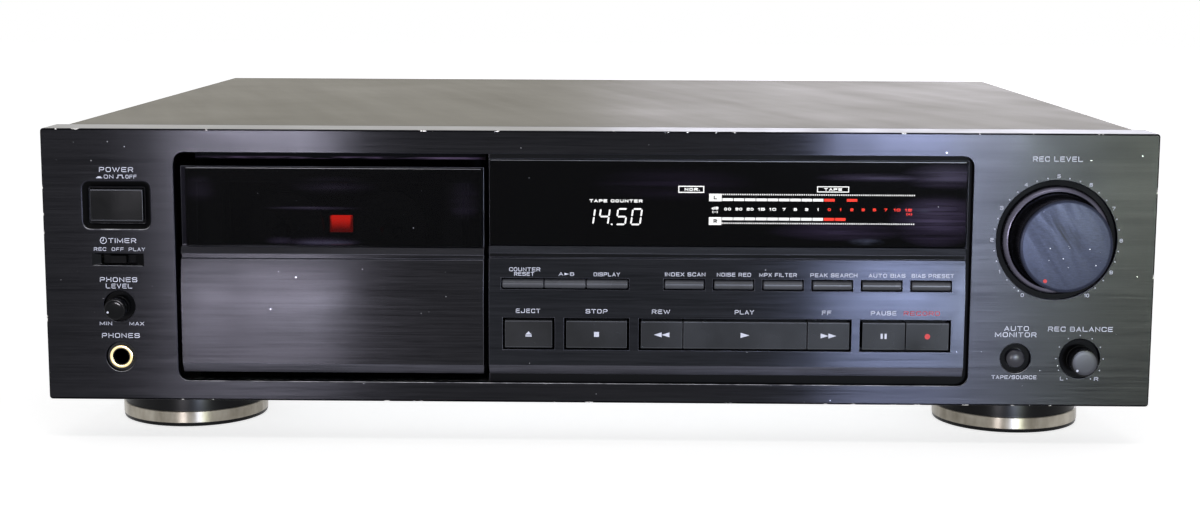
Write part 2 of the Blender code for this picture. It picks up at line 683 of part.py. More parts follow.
def front_panel(looks):
    outline = rounded_rectangle(
        PANEL_LEFT, up(0), PANEL_RIGHT, up(PANEL_TOP_UP), PANEL_CORNER
    )
    opening = rounded_rectangle(
        OPENING_LEFT, up(OPENING_BOTTOM_UP), OPENING_RIGHT, up(OPENING_TOP_UP), OPENING_CORNER
    )
    power_hole = centred_box(
        LEFT_COLUMN, POWER_UP, POWER_KEY_WIDTH + 2 * GAP, POWER_KEY_HEIGHT + 2 * GAP
    )
    timer_slot = centred_box(LEFT_COLUMN, TIMER_UP, TIMER_SLOT_WIDTH, TIMER_SLOT_HEIGHT)
    socket = circle((LEFT_COLUMN, up(PHONES_SOCKET_UP)), PHONES_SOCKET_HOLE_RADIUS)
    record_hole = circle(
        (RECORD_KNOB_X, up(RECORD_KNOB_UP)), BIG_SHAFT_RADIUS + POT_BUSH_WALL + 2 * SHAFT_CLEARANCE
    )
    small_hole = SMALL_SHAFT_RADIUS + POT_BUSH_WALL + 2 * SHAFT_CLEARANCE
    phones_hole = circle((LEFT_COLUMN, up(PHONES_KNOB_UP)), small_hole)
    balance_hole = circle((BALANCE_X, up(BALANCE_UP)), small_hole)
    monitor_hole = circle((MONITOR_X, up(MONITOR_UP)), MONITOR_KEY_RADIUS + GAP)
    loops = [
        outline, opening, power_hole, timer_slot, socket,
        record_hole, phones_hole, balance_hole, monitor_hole,
    ]
    panel = prism("front_panel", loops, "y", into(0), into(PANEL_DEPTH), looks["black_aluminium"])

    inside = block(
        "cut_panel_inside", PANEL_LEFT + PANEL_RETURN, PANEL_RIGHT - PANEL_RETURN,
        PANEL_WALL, PANEL_DEPTH + OVERRUN, PANEL_RETURN, PANEL_TOP_UP - PANEL_RETURN,
    )
    reach = POWER_BEZEL_INSET * (POWER_BEZEL_DEPTH + OVERRUN) / POWER_BEZEL_DEPTH
    flare = reach - POWER_BEZEL_INSET
    inner_width = POWER_RECESS_WIDTH - 2 * POWER_BEZEL_INSET
    inner_height = POWER_RECESS_HEIGHT - 2 * POWER_BEZEL_INSET
    inner_corner = POWER_RECESS_CORNER - POWER_BEZEL_INSET
    bezel = tapered_cutter(
        "cut_power_bezel",
        centred_box(
            LEFT_COLUMN, POWER_UP, POWER_RECESS_WIDTH + 2 * flare,
            POWER_RECESS_HEIGHT + 2 * flare, POWER_RECESS_CORNER + flare,
        ),
        centred_box(LEFT_COLUMN, POWER_UP, inner_width, inner_height, inner_corner),
        -OVERRUN, POWER_BEZEL_DEPTH,
    )
    timer_width = TIMER_RECESS_WIDTH - TIMER_SLOT_WIDTH
    timer_height = TIMER_RECESS_HEIGHT - TIMER_SLOT_HEIGHT
    past = (TIMER_RECESS_DEPTH + OVERRUN) / TIMER_RECESS_DEPTH
    timer = tapered_cutter(
        "cut_timer_recess",
        centred_box(
            LEFT_COLUMN, TIMER_UP, TIMER_SLOT_WIDTH + timer_width * past,
            TIMER_SLOT_HEIGHT + timer_height * past,
        ),
        centred_box(LEFT_COLUMN, TIMER_UP, TIMER_SLOT_WIDTH, TIMER_SLOT_HEIGHT),
        -OVERRUN, TIMER_RECESS_DEPTH,
    )
    pockets = [
        rod(name, x, height, radius, -OVERRUN, POCKET_DEPTH, steps=steps)
        for name, x, height, radius, steps in (
            ("cut_record_pocket", RECORD_KNOB_X, RECORD_KNOB_UP, RECORD_POCKET_RADIUS, FINE_STEPS),
            ("cut_balance_pocket", BALANCE_X, BALANCE_UP, BALANCE_POCKET_RADIUS, ROUND_STEPS),
            ("cut_phones_pocket", LEFT_COLUMN, PHONES_KNOB_UP, PHONES_POCKET_RADIUS, ROUND_STEPS),
            ("cut_monitor_pocket", MONITOR_X, MONITOR_UP, MONITOR_POCKET_RADIUS, ROUND_STEPS),
        )
    ]
    return cut(panel, inside, bezel, timer, *pockets)


# Side profile of the two modules, as points (depth, height)
def module_profile(bottom, band_rise, top):
    crease = bottom + CHAMFER_RISE + FACE_RISE
    band_top = crease + band_rise
    strip_bottom = band_top + GROOVE_RISE
    strip_top = strip_bottom + STRIP_RISE
    seat = WINDOW_FRONT + WINDOW_THICKNESS + GAP
    points = [
        (CHAMFER_RUN, bottom),
        (MODULE_DEPTH, bottom),
        (MODULE_DEPTH, top),
        (seat, top),
        (seat, strip_top),
        (STRIP_BACK, strip_top),
        (STRIP_FRONT, strip_bottom),
        (GROOVE_DEPTH, strip_bottom),
        (GROOVE_DEPTH, band_top),
        (BAND_LEAN, band_top),
        (0, crease),
        (0, bottom + CHAMFER_RISE),
    ]
    return [(into(depth), up(height)) for depth, height in points]


def strip_top_up(bottom, band_rise):
    return bottom + CHAMFER_RISE + FACE_RISE + band_rise + GROOVE_RISE + STRIP_RISE


DOOR_WINDOW_BOTTOM_UP = strip_top_up(DOOR_BOTTOM_UP, DOOR_BAND_RISE) + WINDOW_SEAM
CONTROL_WINDOW_BOTTOM_UP = strip_top_up(CONTROL_BOTTOM_UP, CONTROL_BAND_RISE) + WINDOW_SEAM
DOOR_PIVOT = (DOOR_MIDDLE, into(DOOR_PIVOT_DEPTH), up(DOOR_PIVOT_UP))


# Cassette door, its window and the cassette holder
def door_panel(looks):
    profile = module_profile(DOOR_BOTTOM_UP, DOOR_BAND_RISE, DOOR_TOP_UP)
    door = prism(
        "door_panel", [profile], "x", DOOR_LEFT, DOOR_RIGHT, looks["black_aluminium"], DOOR_PIVOT
    )
    aperture = block(
        "cut_door_aperture", DOOR_LEFT + DOOR_FRAME_BORDER, DOOR_RIGHT - DOOR_FRAME_BORDER,
        WINDOW_FRONT, MODULE_DEPTH + OVERRUN,
        DOOR_WINDOW_BOTTOM_UP + WINDOW_SEAM, DOOR_TOP_UP - DOOR_FRAME_BORDER,
    )
    return cut(door, aperture)


def door_window(looks):
    return block(
        "door_window", DOOR_LEFT + DOOR_WINDOW_LEFT_MARGIN, DOOR_RIGHT - DOOR_WINDOW_RIGHT_MARGIN,
        WINDOW_FRONT, WINDOW_FRONT + WINDOW_THICKNESS,
        DOOR_WINDOW_BOTTOM_UP, DOOR_TOP_UP - WINDOW_SEAM, looks["smoked_window"], DOOR_PIVOT,
    )


def holder_channel(side, looks):
    """Channel that grips one end of the cassette, open towards the cassette's middle."""
    outer = HOLDER_HALF_WIDTH
    inner = outer - HOLDER_SHEET
    lip = outer - HOLDER_LIP
    front = BEHIND_MODULE
    back = HOLDER_BACK_DEPTH + HOLDER_SHEET
    points = [
        (lip, front), (outer, front), (outer, back), (lip, back),
        (lip, HOLDER_BACK_DEPTH), (inner, HOLDER_BACK_DEPTH),
        (inner, front + HOLDER_SHEET), (lip, front + HOLDER_SHEET),
    ]
    outline = [(DOOR_MIDDLE + side * out, into(depth)) for out, depth in points]
    bottom = CASSETTE_BOTTOM_UP - CASSETTE_CLEARANCE - HOLDER_LEDGE_THICKNESS
    return prism(
        f"fuse_holder_channel_{side}", [outline], "z",
        up(bottom), up(DOOR_TOP_UP - HOLDER_TOP_SHORT), looks["black_plastic"],
    )


def cassette_holder(looks):
    plate = block(
        "cassette_holder", DOOR_MIDDLE - HOLDER_HALF_WIDTH, DOOR_MIDDLE + HOLDER_HALF_WIDTH,
        BEHIND_MODULE, BEHIND_MODULE + HOLDER_SHEET, HOLDER_PLATE_BOTTOM_UP,
        DOOR_WINDOW_BOTTOM_UP - HOLDER_PLATE_TOP_SHORT, looks["black_plastic"], DOOR_PIVOT,
    )
    parts = []
    ledge_top = CASSETTE_BOTTOM_UP - CASSETTE_CLEARANCE
    for side in (-1, 1):
        outer = DOOR_MIDDLE + side * HOLDER_HALF_WIDTH
        inner = outer - side * HOLDER_LEDGE
        wall = outer - side * HOLDER_SHEET
        parts.append(holder_channel(side, looks))
        parts.append(block(
            f"fuse_holder_ledge_{side}", min(outer, inner), max(outer, inner),
            BEHIND_MODULE, HOLDER_BACK_DEPTH + HOLDER_SHEET,
            ledge_top - HOLDER_LEDGE_THICKNESS, ledge_top,
        ))
        lug = arc(
            (into(DOOR_PIVOT_DEPTH), up(DOOR_PIVOT_UP)), DOOR_LUG_RADIUS,
            math.pi, math.tau, SMALL_STEPS // 2,
        )
        lug += [
            (into(DOOR_PIVOT_DEPTH + DOOR_LUG_RADIUS), up(ledge_top)),
            (into(DOOR_PIVOT_DEPTH - DOOR_LUG_RADIUS), up(ledge_top)),
        ]
        parts.append(prism(
            f"fuse_holder_lug_{side}", [lug], "x", min(outer, wall), max(outer, wall)
        ))
        pin = circle((into(DOOR_PIVOT_DEPTH), up(DOOR_PIVOT_UP)), DOOR_PIN_RADIUS, SMALL_STEPS)
        pin_end = DOOR_MIDDLE + side * (EAR_INNER + EAR_THICKNESS + GAP)
        parts.append(prism(
            f"fuse_holder_pin_{side}", [pin], "x", min(wall, pin_end), max(wall, pin_end)
        ))
    return fuse(plate, *parts)


# Transport keys and small keys
def transport_layout():
    """Recesses of the transport row, as (left, right, keys), each key as (name, left, right)."""
    spaces = (0, KEY_SPACE, KEY_SPACE, LAST_KEY_SPACE)
    splits = sum(len(group) - 1 for group in KEY_GROUPS)
    row = CONTROL_WIDTH - KEY_ROW_FIRST - KEY_ROW_LAST
    free = row - sum(spaces) - splits * KEY_SPLIT - 2 * KEY_MARGIN * len(KEY_GROUPS)
    recesses = []
    edge = CONTROL_LEFT + KEY_ROW_FIRST
    for space, group in zip(spaces, KEY_GROUPS):
        left = edge + space
        at = left + KEY_MARGIN
        keys = []
        for name in group:
            width = free * KEY_WIDTH_SHARES[name]
            keys.append((name, at, at + width))
            at += width + KEY_SPLIT
        edge = at - KEY_SPLIT + KEY_MARGIN
        recesses.append((left, edge, keys))
    return recesses


def small_key_layout():
    """Slots of the small keys, in the same form as the transport row."""
    at = CONTROL_LEFT + CONTROL_WIDTH * COUNTER_FIRST_SHARE
    width = CONTROL_WIDTH * COUNTER_KEY_SHARE
    keys = []
    for name in ("counter_reset_button", "counter_memory_button", "counter_display_button"):
        keys.append((name, at, at + width))
        at += width + SMALL_KEY_SPLIT
    slots = [(keys[0][1] - SMALL_KEY_MARGIN, keys[-1][2] + SMALL_KEY_MARGIN, keys)]
    names = ("index_scan", "noise_reduction", "filter", "peak_search", "auto_bias", "bias_preset")
    for index, name in enumerate(names):
        share = FUNCTION_FIRST_SHARE + index * FUNCTION_PITCH_SHARE
        left = CONTROL_LEFT + CONTROL_WIDTH * share
        right = left + CONTROL_WIDTH * FUNCTION_KEY_SHARE
        slots.append((left - SMALL_KEY_MARGIN, right + SMALL_KEY_MARGIN, [
            (f"{name}_button", left, right)
        ]))
    return slots


def transport_key(name, left, right, looks):
    bottom = KEY_ROW_BOTTOM_UP + KEY_MARGIN
    top = KEY_ROW_BOTTOM_UP + KEY_ROW_HEIGHT - KEY_MARGIN
    flange_low = KEY_ROW_BOTTOM_UP - KEY_FLANGE_RISE
    flange_high = KEY_ROW_BOTTOM_UP + KEY_ROW_HEIGHT + KEY_FLANGE_RISE
    flange_back = BEHIND_MODULE + KEY_FLANGE_THICKNESS
    points = [
        (-KEY_PROUD, bottom + KEY_EDGE),
        (-KEY_PROUD + KEY_EDGE, bottom),
        (BEHIND_MODULE, bottom),
        (BEHIND_MODULE, flange_low),
        (flange_back, flange_low),
        (flange_back, flange_high),
        (BEHIND_MODULE, flange_high),
        (BEHIND_MODULE, top),
        (-KEY_PROUD + KEY_EDGE, top),
        (-KEY_PROUD, top - KEY_EDGE),
    ]
    outline = [(into(depth), up(height)) for depth, height in points]
    origin = ((left + right) / 2, into(-KEY_PROUD), up((bottom + top) / 2))
    return prism(name, [outline], "x", left, right, looks["key_grey"], origin)


def small_key(name, left, right, looks):
    radius = SMALL_KEY_HEIGHT / 2
    crown = [
        (-SMALL_KEY_PROUD + radius - radius * math.sin(angle), SMALL_KEY_UP + radius * math.cos(angle))
        for angle in (math.pi * step / SMALL_STEPS for step in range(SMALL_STEPS + 1))
    ]
    flange = radius + SMALL_KEY_MARGIN + SMALL_KEY_FLANGE_RISE
    flange_back = BEHIND_MODULE + KEY_FLANGE_THICKNESS
    points = crown + [
        (BEHIND_MODULE, SMALL_KEY_UP - radius),
        (BEHIND_MODULE, SMALL_KEY_UP - flange),
        (flange_back, SMALL_KEY_UP - flange),
        (flange_back, SMALL_KEY_UP + flange),
        (BEHIND_MODULE, SMALL_KEY_UP + flange),
        (BEHIND_MODULE, SMALL_KEY_UP + radius),
    ]
    outline = [(into(depth), up(height)) for depth, height in points]
    origin = ((left + right) / 2, into(-SMALL_KEY_PROUD), up(SMALL_KEY_UP))
    return prism(name, [outline], "x", left, right, looks["key_grey"], origin)


# Control module
def control_panel(looks):
    profile = module_profile(CONTROL_BOTTOM_UP, CONTROL_BAND_RISE, CONTROL_TOP_UP)
    panel = prism(
        "control_panel", [profile], "x", CONTROL_LEFT, CONTROL_RIGHT, looks["black_aluminium"]
    )
    flange_top = OPENING_TOP_UP + CONTROL_FLANGE_RISE
    flange = block(
        "fuse_control_flange", CONTROL_LEFT, OPENING_RIGHT + CONTROL_FLANGE_SIDE,
        BEHIND_WALL, MODULE_DEPTH, OPENING_BOTTOM_UP - CONTROL_FLANGE_RISE, flange_top,
    )
    groove_mouth = block(
        "cut_control_groove", CONTROL_LEFT - OVERRUN, CONTROL_RIGHT,
        -OVERRUN, GROOVE_DEPTH,
        CONTROL_WINDOW_BOTTOM_UP - WINDOW_SEAM - STRIP_RISE - GROOVE_RISE,
        CONTROL_WINDOW_BOTTOM_UP - WINDOW_SEAM - STRIP_RISE,
    )
    seat = block(
        "cut_display_seat", CONTROL_LEFT - OVERRUN, CONTROL_RIGHT + GAP,
        -OVERRUN, WINDOW_FRONT + WINDOW_THICKNESS + GAP,
        CONTROL_WINDOW_BOTTOM_UP - WINDOW_SEAM, CONTROL_TOP_UP + GAP,
    )
    aperture = block(
        "cut_display_aperture", CONTROL_LEFT + DISPLAY_APERTURE_BORDER,
        CONTROL_RIGHT - DISPLAY_APERTURE_BORDER, -OVERRUN, MODULE_DEPTH + OVERRUN,
        CONTROL_WINDOW_BOTTOM_UP + DISPLAY_APERTURE_BORDER, CONTROL_TOP_UP - DISPLAY_APERTURE_BORDER,
    )
    posts = []
    for index, share in enumerate(CONTROL_POST_SHARES):
        x = CONTROL_LEFT + CONTROL_WIDTH * share
        posts.append(rod(
            f"fuse_control_post_{index}", x, CONTROL_POST_UP, CONTROL_POST_RADIUS,
            MODULE_DEPTH - GAP, FRONT_BOARD_DEPTH - GAP,
        ))
    fuse(panel, flange, *posts)
    recesses = [
        block(
            f"cut_key_recess_{index}", left, right, -OVERRUN, MODULE_DEPTH + OVERRUN,
            KEY_ROW_BOTTOM_UP, KEY_ROW_BOTTOM_UP + KEY_ROW_HEIGHT,
        )
        for index, (left, right, _) in enumerate(transport_layout())
    ]
    reach = SMALL_KEY_HEIGHT / 2 + SMALL_KEY_MARGIN
    slots = [
        block(
            f"cut_small_slot_{index}", left, right, -OVERRUN, MODULE_DEPTH + OVERRUN,
            SMALL_KEY_UP - reach, SMALL_KEY_UP + reach,
        )
        for index, (left, right, _) in enumerate(small_key_layout())
    ]
    return cut(panel, groove_mouth, seat, aperture, *recesses, *slots)


def display_window(looks):
    return block(
        "display_window", CONTROL_LEFT + CONTROL_WINDOW_MARGIN, CONTROL_RIGHT - CONTROL_WINDOW_MARGIN,
        WINDOW_FRONT, WINDOW_FRONT + WINDOW_THICKNESS,
        CONTROL_WINDOW_BOTTOM_UP, CONTROL_TOP_UP, looks["smoked_window"],
    )


def display_tube(looks):
    outline = rounded_rectangle(
        CONTROL_LEFT + TUBE_LEFT, up(CONTROL_WINDOW_BOTTOM_UP + TUBE_MARGIN),
        CONTROL_RIGHT - TUBE_RIGHT_MARGIN, up(CONTROL_TOP_UP - TUBE_MARGIN), TUBE_CORNER,
    )
    return prism(
        "display_tube", [outline], "y", into(TUBE_FRONT_DEPTH),
        into(TUBE_FRONT_DEPTH + TUBE_DEPTH), looks["tube_glass"],
    )


def front_board(looks):
    board = block(
        "front_board", CONTROL_LEFT, CONTROL_RIGHT, FRONT_BOARD_DEPTH,
        FRONT_BOARD_DEPTH + BOARD_THICKNESS, FRONT_BOARD_BOTTOM_UP,
        CONTROL_TOP_UP - FRONT_BOARD_TOP_SHORT, looks["board_green"],
    )
    rows = (
        ("key", transport_layout(), KEY_ROW_BOTTOM_UP + KEY_ROW_HEIGHT / 2, SWITCH_SIDE),
        ("small", small_key_layout(), SMALL_KEY_UP, SMALL_SWITCH_HEIGHT),
    )
    switches = []
    for row, layout, height, rise in rows:
        keys = [key for _, _, members in layout for key in members]
        for name, left, right in keys:
            x = (left + right) / 2
            switches.append(block(
                f"fuse_switch_{row}_{name}", x - SWITCH_SIDE / 2, x + SWITCH_SIDE / 2,
                SWITCH_FACE_DEPTH, FRONT_BOARD_DEPTH + COMPONENT_SINK,
                height - rise / 2, height + rise / 2,
            ))
    return fuse(board, *switches)


# Controls of the left column
def power_button(looks):
    half_width = POWER_KEY_WIDTH / 2
    bottom = POWER_UP - POWER_KEY_HEIGHT / 2
    top = POWER_UP + POWER_KEY_HEIGHT / 2
    flange_back = POWER_FLANGE_DEPTH + POWER_FLANGE_THICKNESS
    points = [
        (POWER_FACE_DEPTH, bottom + KEY_EDGE),
        (POWER_FACE_DEPTH + KEY_EDGE, bottom),
        (POWER_FLANGE_DEPTH, bottom),
        (POWER_FLANGE_DEPTH, bottom - POWER_FLANGE_RISE),
        (flange_back, bottom - POWER_FLANGE_RISE),
        (flange_back, bottom + POWER_FLANGE_RISE),
        (POWER_KEY_END_DEPTH, bottom + POWER_FLANGE_RISE),
        (POWER_KEY_END_DEPTH, top - POWER_FLANGE_RISE),
        (flange_back, top - POWER_FLANGE_RISE),
        (flange_back, top + POWER_FLANGE_RISE),
        (POWER_FLANGE_DEPTH, top + POWER_FLANGE_RISE),
        (POWER_FLANGE_DEPTH, top),
        (POWER_FACE_DEPTH + KEY_EDGE, top),
        (POWER_FACE_DEPTH, top - KEY_EDGE),
    ]
    outline = [(into(depth), up(height)) for depth, height in points]
    return prism(
        "power_button", [outline], "x", LEFT_COLUMN - half_width, LEFT_COLUMN + half_width,
        looks["key_grey"], (LEFT_COLUMN, into(POWER_FACE_DEPTH), up(POWER_UP)),
    )


def timer_slider(looks):
    half_height = TIMER_SLOT_HEIGHT / 2 - GAP
    flange_back = BEHIND_WALL + TIMER_FLANGE_THICKNESS
    half_flange = TIMER_FLANGE_HEIGHT / 2
    points = [
        (TIMER_KNOB_DEPTH, -half_height),
        (BEHIND_WALL, -half_height),
        (BEHIND_WALL, -half_flange),
        (flange_back, -half_flange),
        (flange_back, half_flange),
        (BEHIND_WALL, half_flange),
        (BEHIND_WALL, half_height),
        (TIMER_KNOB_DEPTH, half_height),
    ]
    outline = [(into(depth), up(TIMER_UP + rise)) for depth, rise in points]
    left = LEFT_COLUMN - TIMER_KNOB_WIDTH / 2
    right = LEFT_COLUMN + TIMER_KNOB_WIDTH / 2
    slider = prism(
        "timer_slider", [outline], "x", left, right, looks["black_plastic"],
        (LEFT_COLUMN, into(TIMER_KNOB_DEPTH), up(TIMER_UP)),
    )
    wing = block(
        "fuse_timer_flange", LEFT_COLUMN - TIMER_FLANGE_WIDTH / 2,
        LEFT_COLUMN + TIMER_FLANGE_WIDTH / 2, BEHIND_WALL, flange_back,
        TIMER_UP - half_flange, TIMER_UP + half_flange,
    )
    return fuse(slider, wing)


def small_knob(name, x, height, radius, proud, pot_depth, looks):
    """Plain round knob with its shaft, which ends inside its potentiometer."""
    shaft_end = BEHIND_WALL + pot_depth - OVERRUN
    profile = [
        (radius - KNOB_TOP_EDGE, -proud),
        (radius, -proud + KNOB_TOP_EDGE),
        (radius, KNOB_SEAT_DEPTH),
        (SMALL_SHAFT_RADIUS, KNOB_SEAT_DEPTH),
        (SMALL_SHAFT_RADIUS, shaft_end),
    ]
    return turned(name, profile, x, height, looks["key_grey"])


def record_level_knob(looks):
    shaft_end = BEHIND_WALL + BIG_POT_DEPTH - OVERRUN
    face = RECORD_KNOB_PROUD
    profile = [
        (RECORD_FACE_RADIUS - RECORD_FACE_EDGE, -face),
        (RECORD_FACE_RADIUS, -face + RECORD_FACE_EDGE),
        (RECORD_WAIST_RADIUS, -RECORD_WAIST_PROUD),
        (RECORD_WAIST_RADIUS, -2 * RECORD_SKIRT_PROUD),
        (RECORD_SKIRT_RADIUS - RECORD_SKIRT_PROUD, -RECORD_SKIRT_PROUD),
        (RECORD_SKIRT_RADIUS, 0),
        (RECORD_SKIRT_RADIUS, KNOB_SEAT_DEPTH),
        (BIG_SHAFT_RADIUS, KNOB_SEAT_DEPTH),
        (BIG_SHAFT_RADIUS, shaft_end),
    ]
    return turned(
        "record_level_knob", profile, RECORD_KNOB_X, RECORD_KNOB_UP, looks["key_grey"],
        steps=FINE_STEPS,
    )


def monitor_button(looks):
    back = BEHIND_WALL + KEY_FLANGE_THICKNESS
    dome = [
        (
            MONITOR_KEY_RADIUS * math.sin(angle),
            -MONITOR_KEY_PROUD - (MONITOR_DOME_PROUD - MONITOR_KEY_PROUD) * math.cos(angle),
        )
        for angle in (math.tau / 4 * step / CORNER_STEPS for step in range(1, CORNER_STEPS + 1))
    ]
    profile = dome + [
        (MONITOR_KEY_RADIUS, BEHIND_WALL),
        (MONITOR_FLANGE_RADIUS, BEHIND_WALL),
        (MONITOR_FLANGE_RADIUS, back),
    ]
    return turned("monitor_button", profile, MONITOR_X, MONITOR_UP, looks["key_grey"])


def potentiometer(name, x, height, side, depth, shaft_radius, looks):
    half = side / 2
    body = block(
        name, x - half, x + half, BEHIND_WALL, BEHIND_WALL + depth,
        height - half, height + half, looks["zinc_steel"],
    )
    bush = rod(
        f"fuse_{name}_bush", x, height, shaft_radius + SHAFT_CLEARANCE + POT_BUSH_WALL,
        POCKET_DEPTH + GAP, BEHIND_WALL + OVERRUN, steps=ROUND_STEPS,
    )
    bore = rod(
        f"cut_{name}_bore", x, height, shaft_radius + SHAFT_CLEARANCE,
        -OVERRUN, BEHIND_WALL + depth - OVERRUN / 2, steps=ROUND_STEPS,
    )
    return cut(fuse(body, bush), bore)


def balance_pot(looks):
    """Balance potentiometer on the small board that also carries the monitor switch."""
    pot = potentiometer(
        "balance_pot", BALANCE_X, BALANCE_UP, BALANCE_POT_SIDE, BALANCE_POT_DEPTH,
        SMALL_SHAFT_RADIUS, looks,
    )
    board_depth = BEHIND_WALL + BALANCE_POT_DEPTH - COMPONENT_SINK
    board = block(
        "fuse_balance_board", MONITOR_X - SWITCH_SIDE / 2 - SWITCH_BOARD_MARGIN,
        BALANCE_X + BALANCE_POT_SIDE / 2 + SWITCH_BOARD_MARGIN, board_depth,
        board_depth + BOARD_THICKNESS, MONITOR_UP - SWITCH_BOARD_RISE, MONITOR_UP + SWITCH_BOARD_RISE,
    )
    switch_face = BEHIND_WALL + KEY_FLANGE_THICKNESS + MONITOR_TRAVEL + GAP
    switch = block(
        "fuse_monitor_switch", MONITOR_X - SWITCH_SIDE / 2, MONITOR_X + SWITCH_SIDE / 2,
        switch_face, board_depth + COMPONENT_SINK,
        MONITOR_UP - SWITCH_SIDE / 2, MONITOR_UP + SWITCH_SIDE / 2,
    )
    bore = pot.modifiers[-1].object
    pot.modifiers.remove(pot.modifiers[-1])
    return cut(fuse(pot, board, switch), bore)


def phones_jack(looks):
    half = PHONES_SOCKET_BODY / 2
    body = block(
        "phones_jack", LEFT_COLUMN - half, LEFT_COLUMN + half, BEHIND_WALL,
        PHONES_SOCKET_END_DEPTH, PHONES_SOCKET_UP - half, PHONES_SOCKET_UP + half, looks["brass"],
    )
    collar = rod(
        "fuse_jack_collar", LEFT_COLUMN, PHONES_SOCKET_UP, PHONES_SOCKET_HOLE_RADIUS - GAP,
        PHONES_SOCKET_COLLAR_DEPTH, BEHIND_WALL + OVERRUN, steps=ROUND_STEPS,
    )
    ring = rod(
        "fuse_jack_ring", LEFT_COLUMN, PHONES_SOCKET_UP, PHONES_SOCKET_RING_RADIUS,
        PHONES_SOCKET_RING_DEPTH, BEHIND_WALL + OVERRUN, steps=ROUND_STEPS,
    )
    bore = rod(
        "cut_jack_bore", LEFT_COLUMN, PHONES_SOCKET_UP, PHONES_SOCKET_BORE_RADIUS,
        -OVERRUN, PHONES_SOCKET_BORE_DEPTH, steps=ROUND_STEPS,
    )
    return cut(fuse(body, collar, ring), bore)


# Sheet metal body
def top_cover(looks):
    outer = COVER_HALF_WIDTH
    inner = outer - SHEET
    top = up(PANEL_TOP_UP)
    skirt = up(COVER_SKIRT_UP)
    fold = COVER_FOLD
    quarter = math.tau / 4
    outline = [(outer, skirt)]
    outline += arc((outer - fold, top - fold), fold, 0, quarter, CORNER_STEPS)
    outline += arc((fold - outer, top - fold), fold, quarter, 2 * quarter, CORNER_STEPS)
    outline += [(-outer, skirt), (-inner, skirt)]
    inner_fold = fold - SHEET
    outline += arc((fold - outer, top - fold), inner_fold, 2 * quarter, quarter, CORNER_STEPS)
    outline += arc((outer - fold, top - fold), inner_fold, quarter, 0, CORNER_STEPS)
    outline += [(inner, skirt)]
    return prism(
        "top_cover", [outline], "y", into(PANEL_DEPTH + GAP), into(BODY_DEPTH), looks["cover_paint"]
    )


def chassis_pan(looks):
    front = BEHIND_MODULE
    pan = block(
        "chassis_pan", -PAN_HALF_WIDTH, PAN_HALF_WIDTH, front, PAN_BACK_DEPTH,
        PAN_BOTTOM_UP, PAN_BOTTOM_UP + PAN_SIDE_FLANGE, looks["zinc_steel"],
    )
    inside = block(
        "cut_pan_inside", -PAN_HALF_WIDTH + SHEET, PAN_HALF_WIDTH - SHEET,
        front + SHEET, PAN_BACK_DEPTH - SHEET, PAN_TOP_UP, PAN_BOTTOM_UP + PAN_SIDE_FLANGE + OVERRUN,
    )
    low_front = block(
        "cut_pan_front", -PAN_HALF_WIDTH - OVERRUN, PAN_HALF_WIDTH + OVERRUN,
        front - OVERRUN, PANEL_DEPTH, PAN_BOTTOM_UP + PAN_FRONT_FLANGE,
        PAN_BOTTOM_UP + PAN_SIDE_FLANGE + OVERRUN,
    )
    low_rear = block(
        "cut_pan_rear", -PAN_HALF_WIDTH + SHEET, PAN_HALF_WIDTH - SHEET,
        PAN_BACK_DEPTH - SHEET - OVERRUN, PAN_BACK_DEPTH + OVERRUN,
        PAN_BOTTOM_UP + PAN_REAR_FLANGE, PAN_BOTTOM_UP + PAN_SIDE_FLANGE + OVERRUN,
    )
    vents = []
    first = TRANSFORMER_X - PAN_VENT_PITCH * (PAN_VENT_COUNT - 1) / 2
    middle = into(BODY_DEPTH - TRANSFORMER_FROM_BACK - CORE_DEPTH - PAN_VENT_LENGTH)
    for index in range(PAN_VENT_COUNT):
        x = first + index * PAN_VENT_PITCH
        slot = rounded_rectangle(
            x - PAN_VENT_WIDTH / 2, middle - PAN_VENT_LENGTH / 2,
            x + PAN_VENT_WIDTH / 2, middle + PAN_VENT_LENGTH / 2, PAN_VENT_WIDTH / 3,
        )
        vents.append(prism(
            f"cut_pan_vent_{index}", [slot], "z", up(PAN_BOTTOM_UP - OVERRUN), up(PAN_TOP_UP + OVERRUN)
        ))
    return cut(pan, inside, low_front, low_rear, *vents)


def phono_centres():
    first = PANEL_LEFT + PHONO_FROM_EDGE
    return [
        (first + column * PHONO_PITCH, PHONO_UP + row * PHONO_PITCH)
        for column in range(PHONO_COLUMNS)
        for row in range(PHONO_ROWS)
    ]


INLET_X = PANEL_RIGHT - INLET_FROM_EDGE


def rear_panel(looks):
    outline = rectangle(
        -PAN_HALF_WIDTH, up(PAN_BOTTOM_UP), PAN_HALF_WIDTH, up(PANEL_TOP_UP - SHEET - GAP)
    )
    holes = [circle((x, up(height)), PHONO_RADIUS + GAP) for x, height in phono_centres()]
    holes.append(centred_box(
        INLET_X, INLET_UP, INLET_BODY_WIDTH + 2 * GAP, INLET_BODY_HEIGHT + 2 * GAP
    ))
    back = BODY_DEPTH - REAR_PANEL_BACK_SET
    return prism(
        "rear_panel", [outline, *holes], "y", into(back - SHEET), into(back), looks["zinc_steel"]
    )


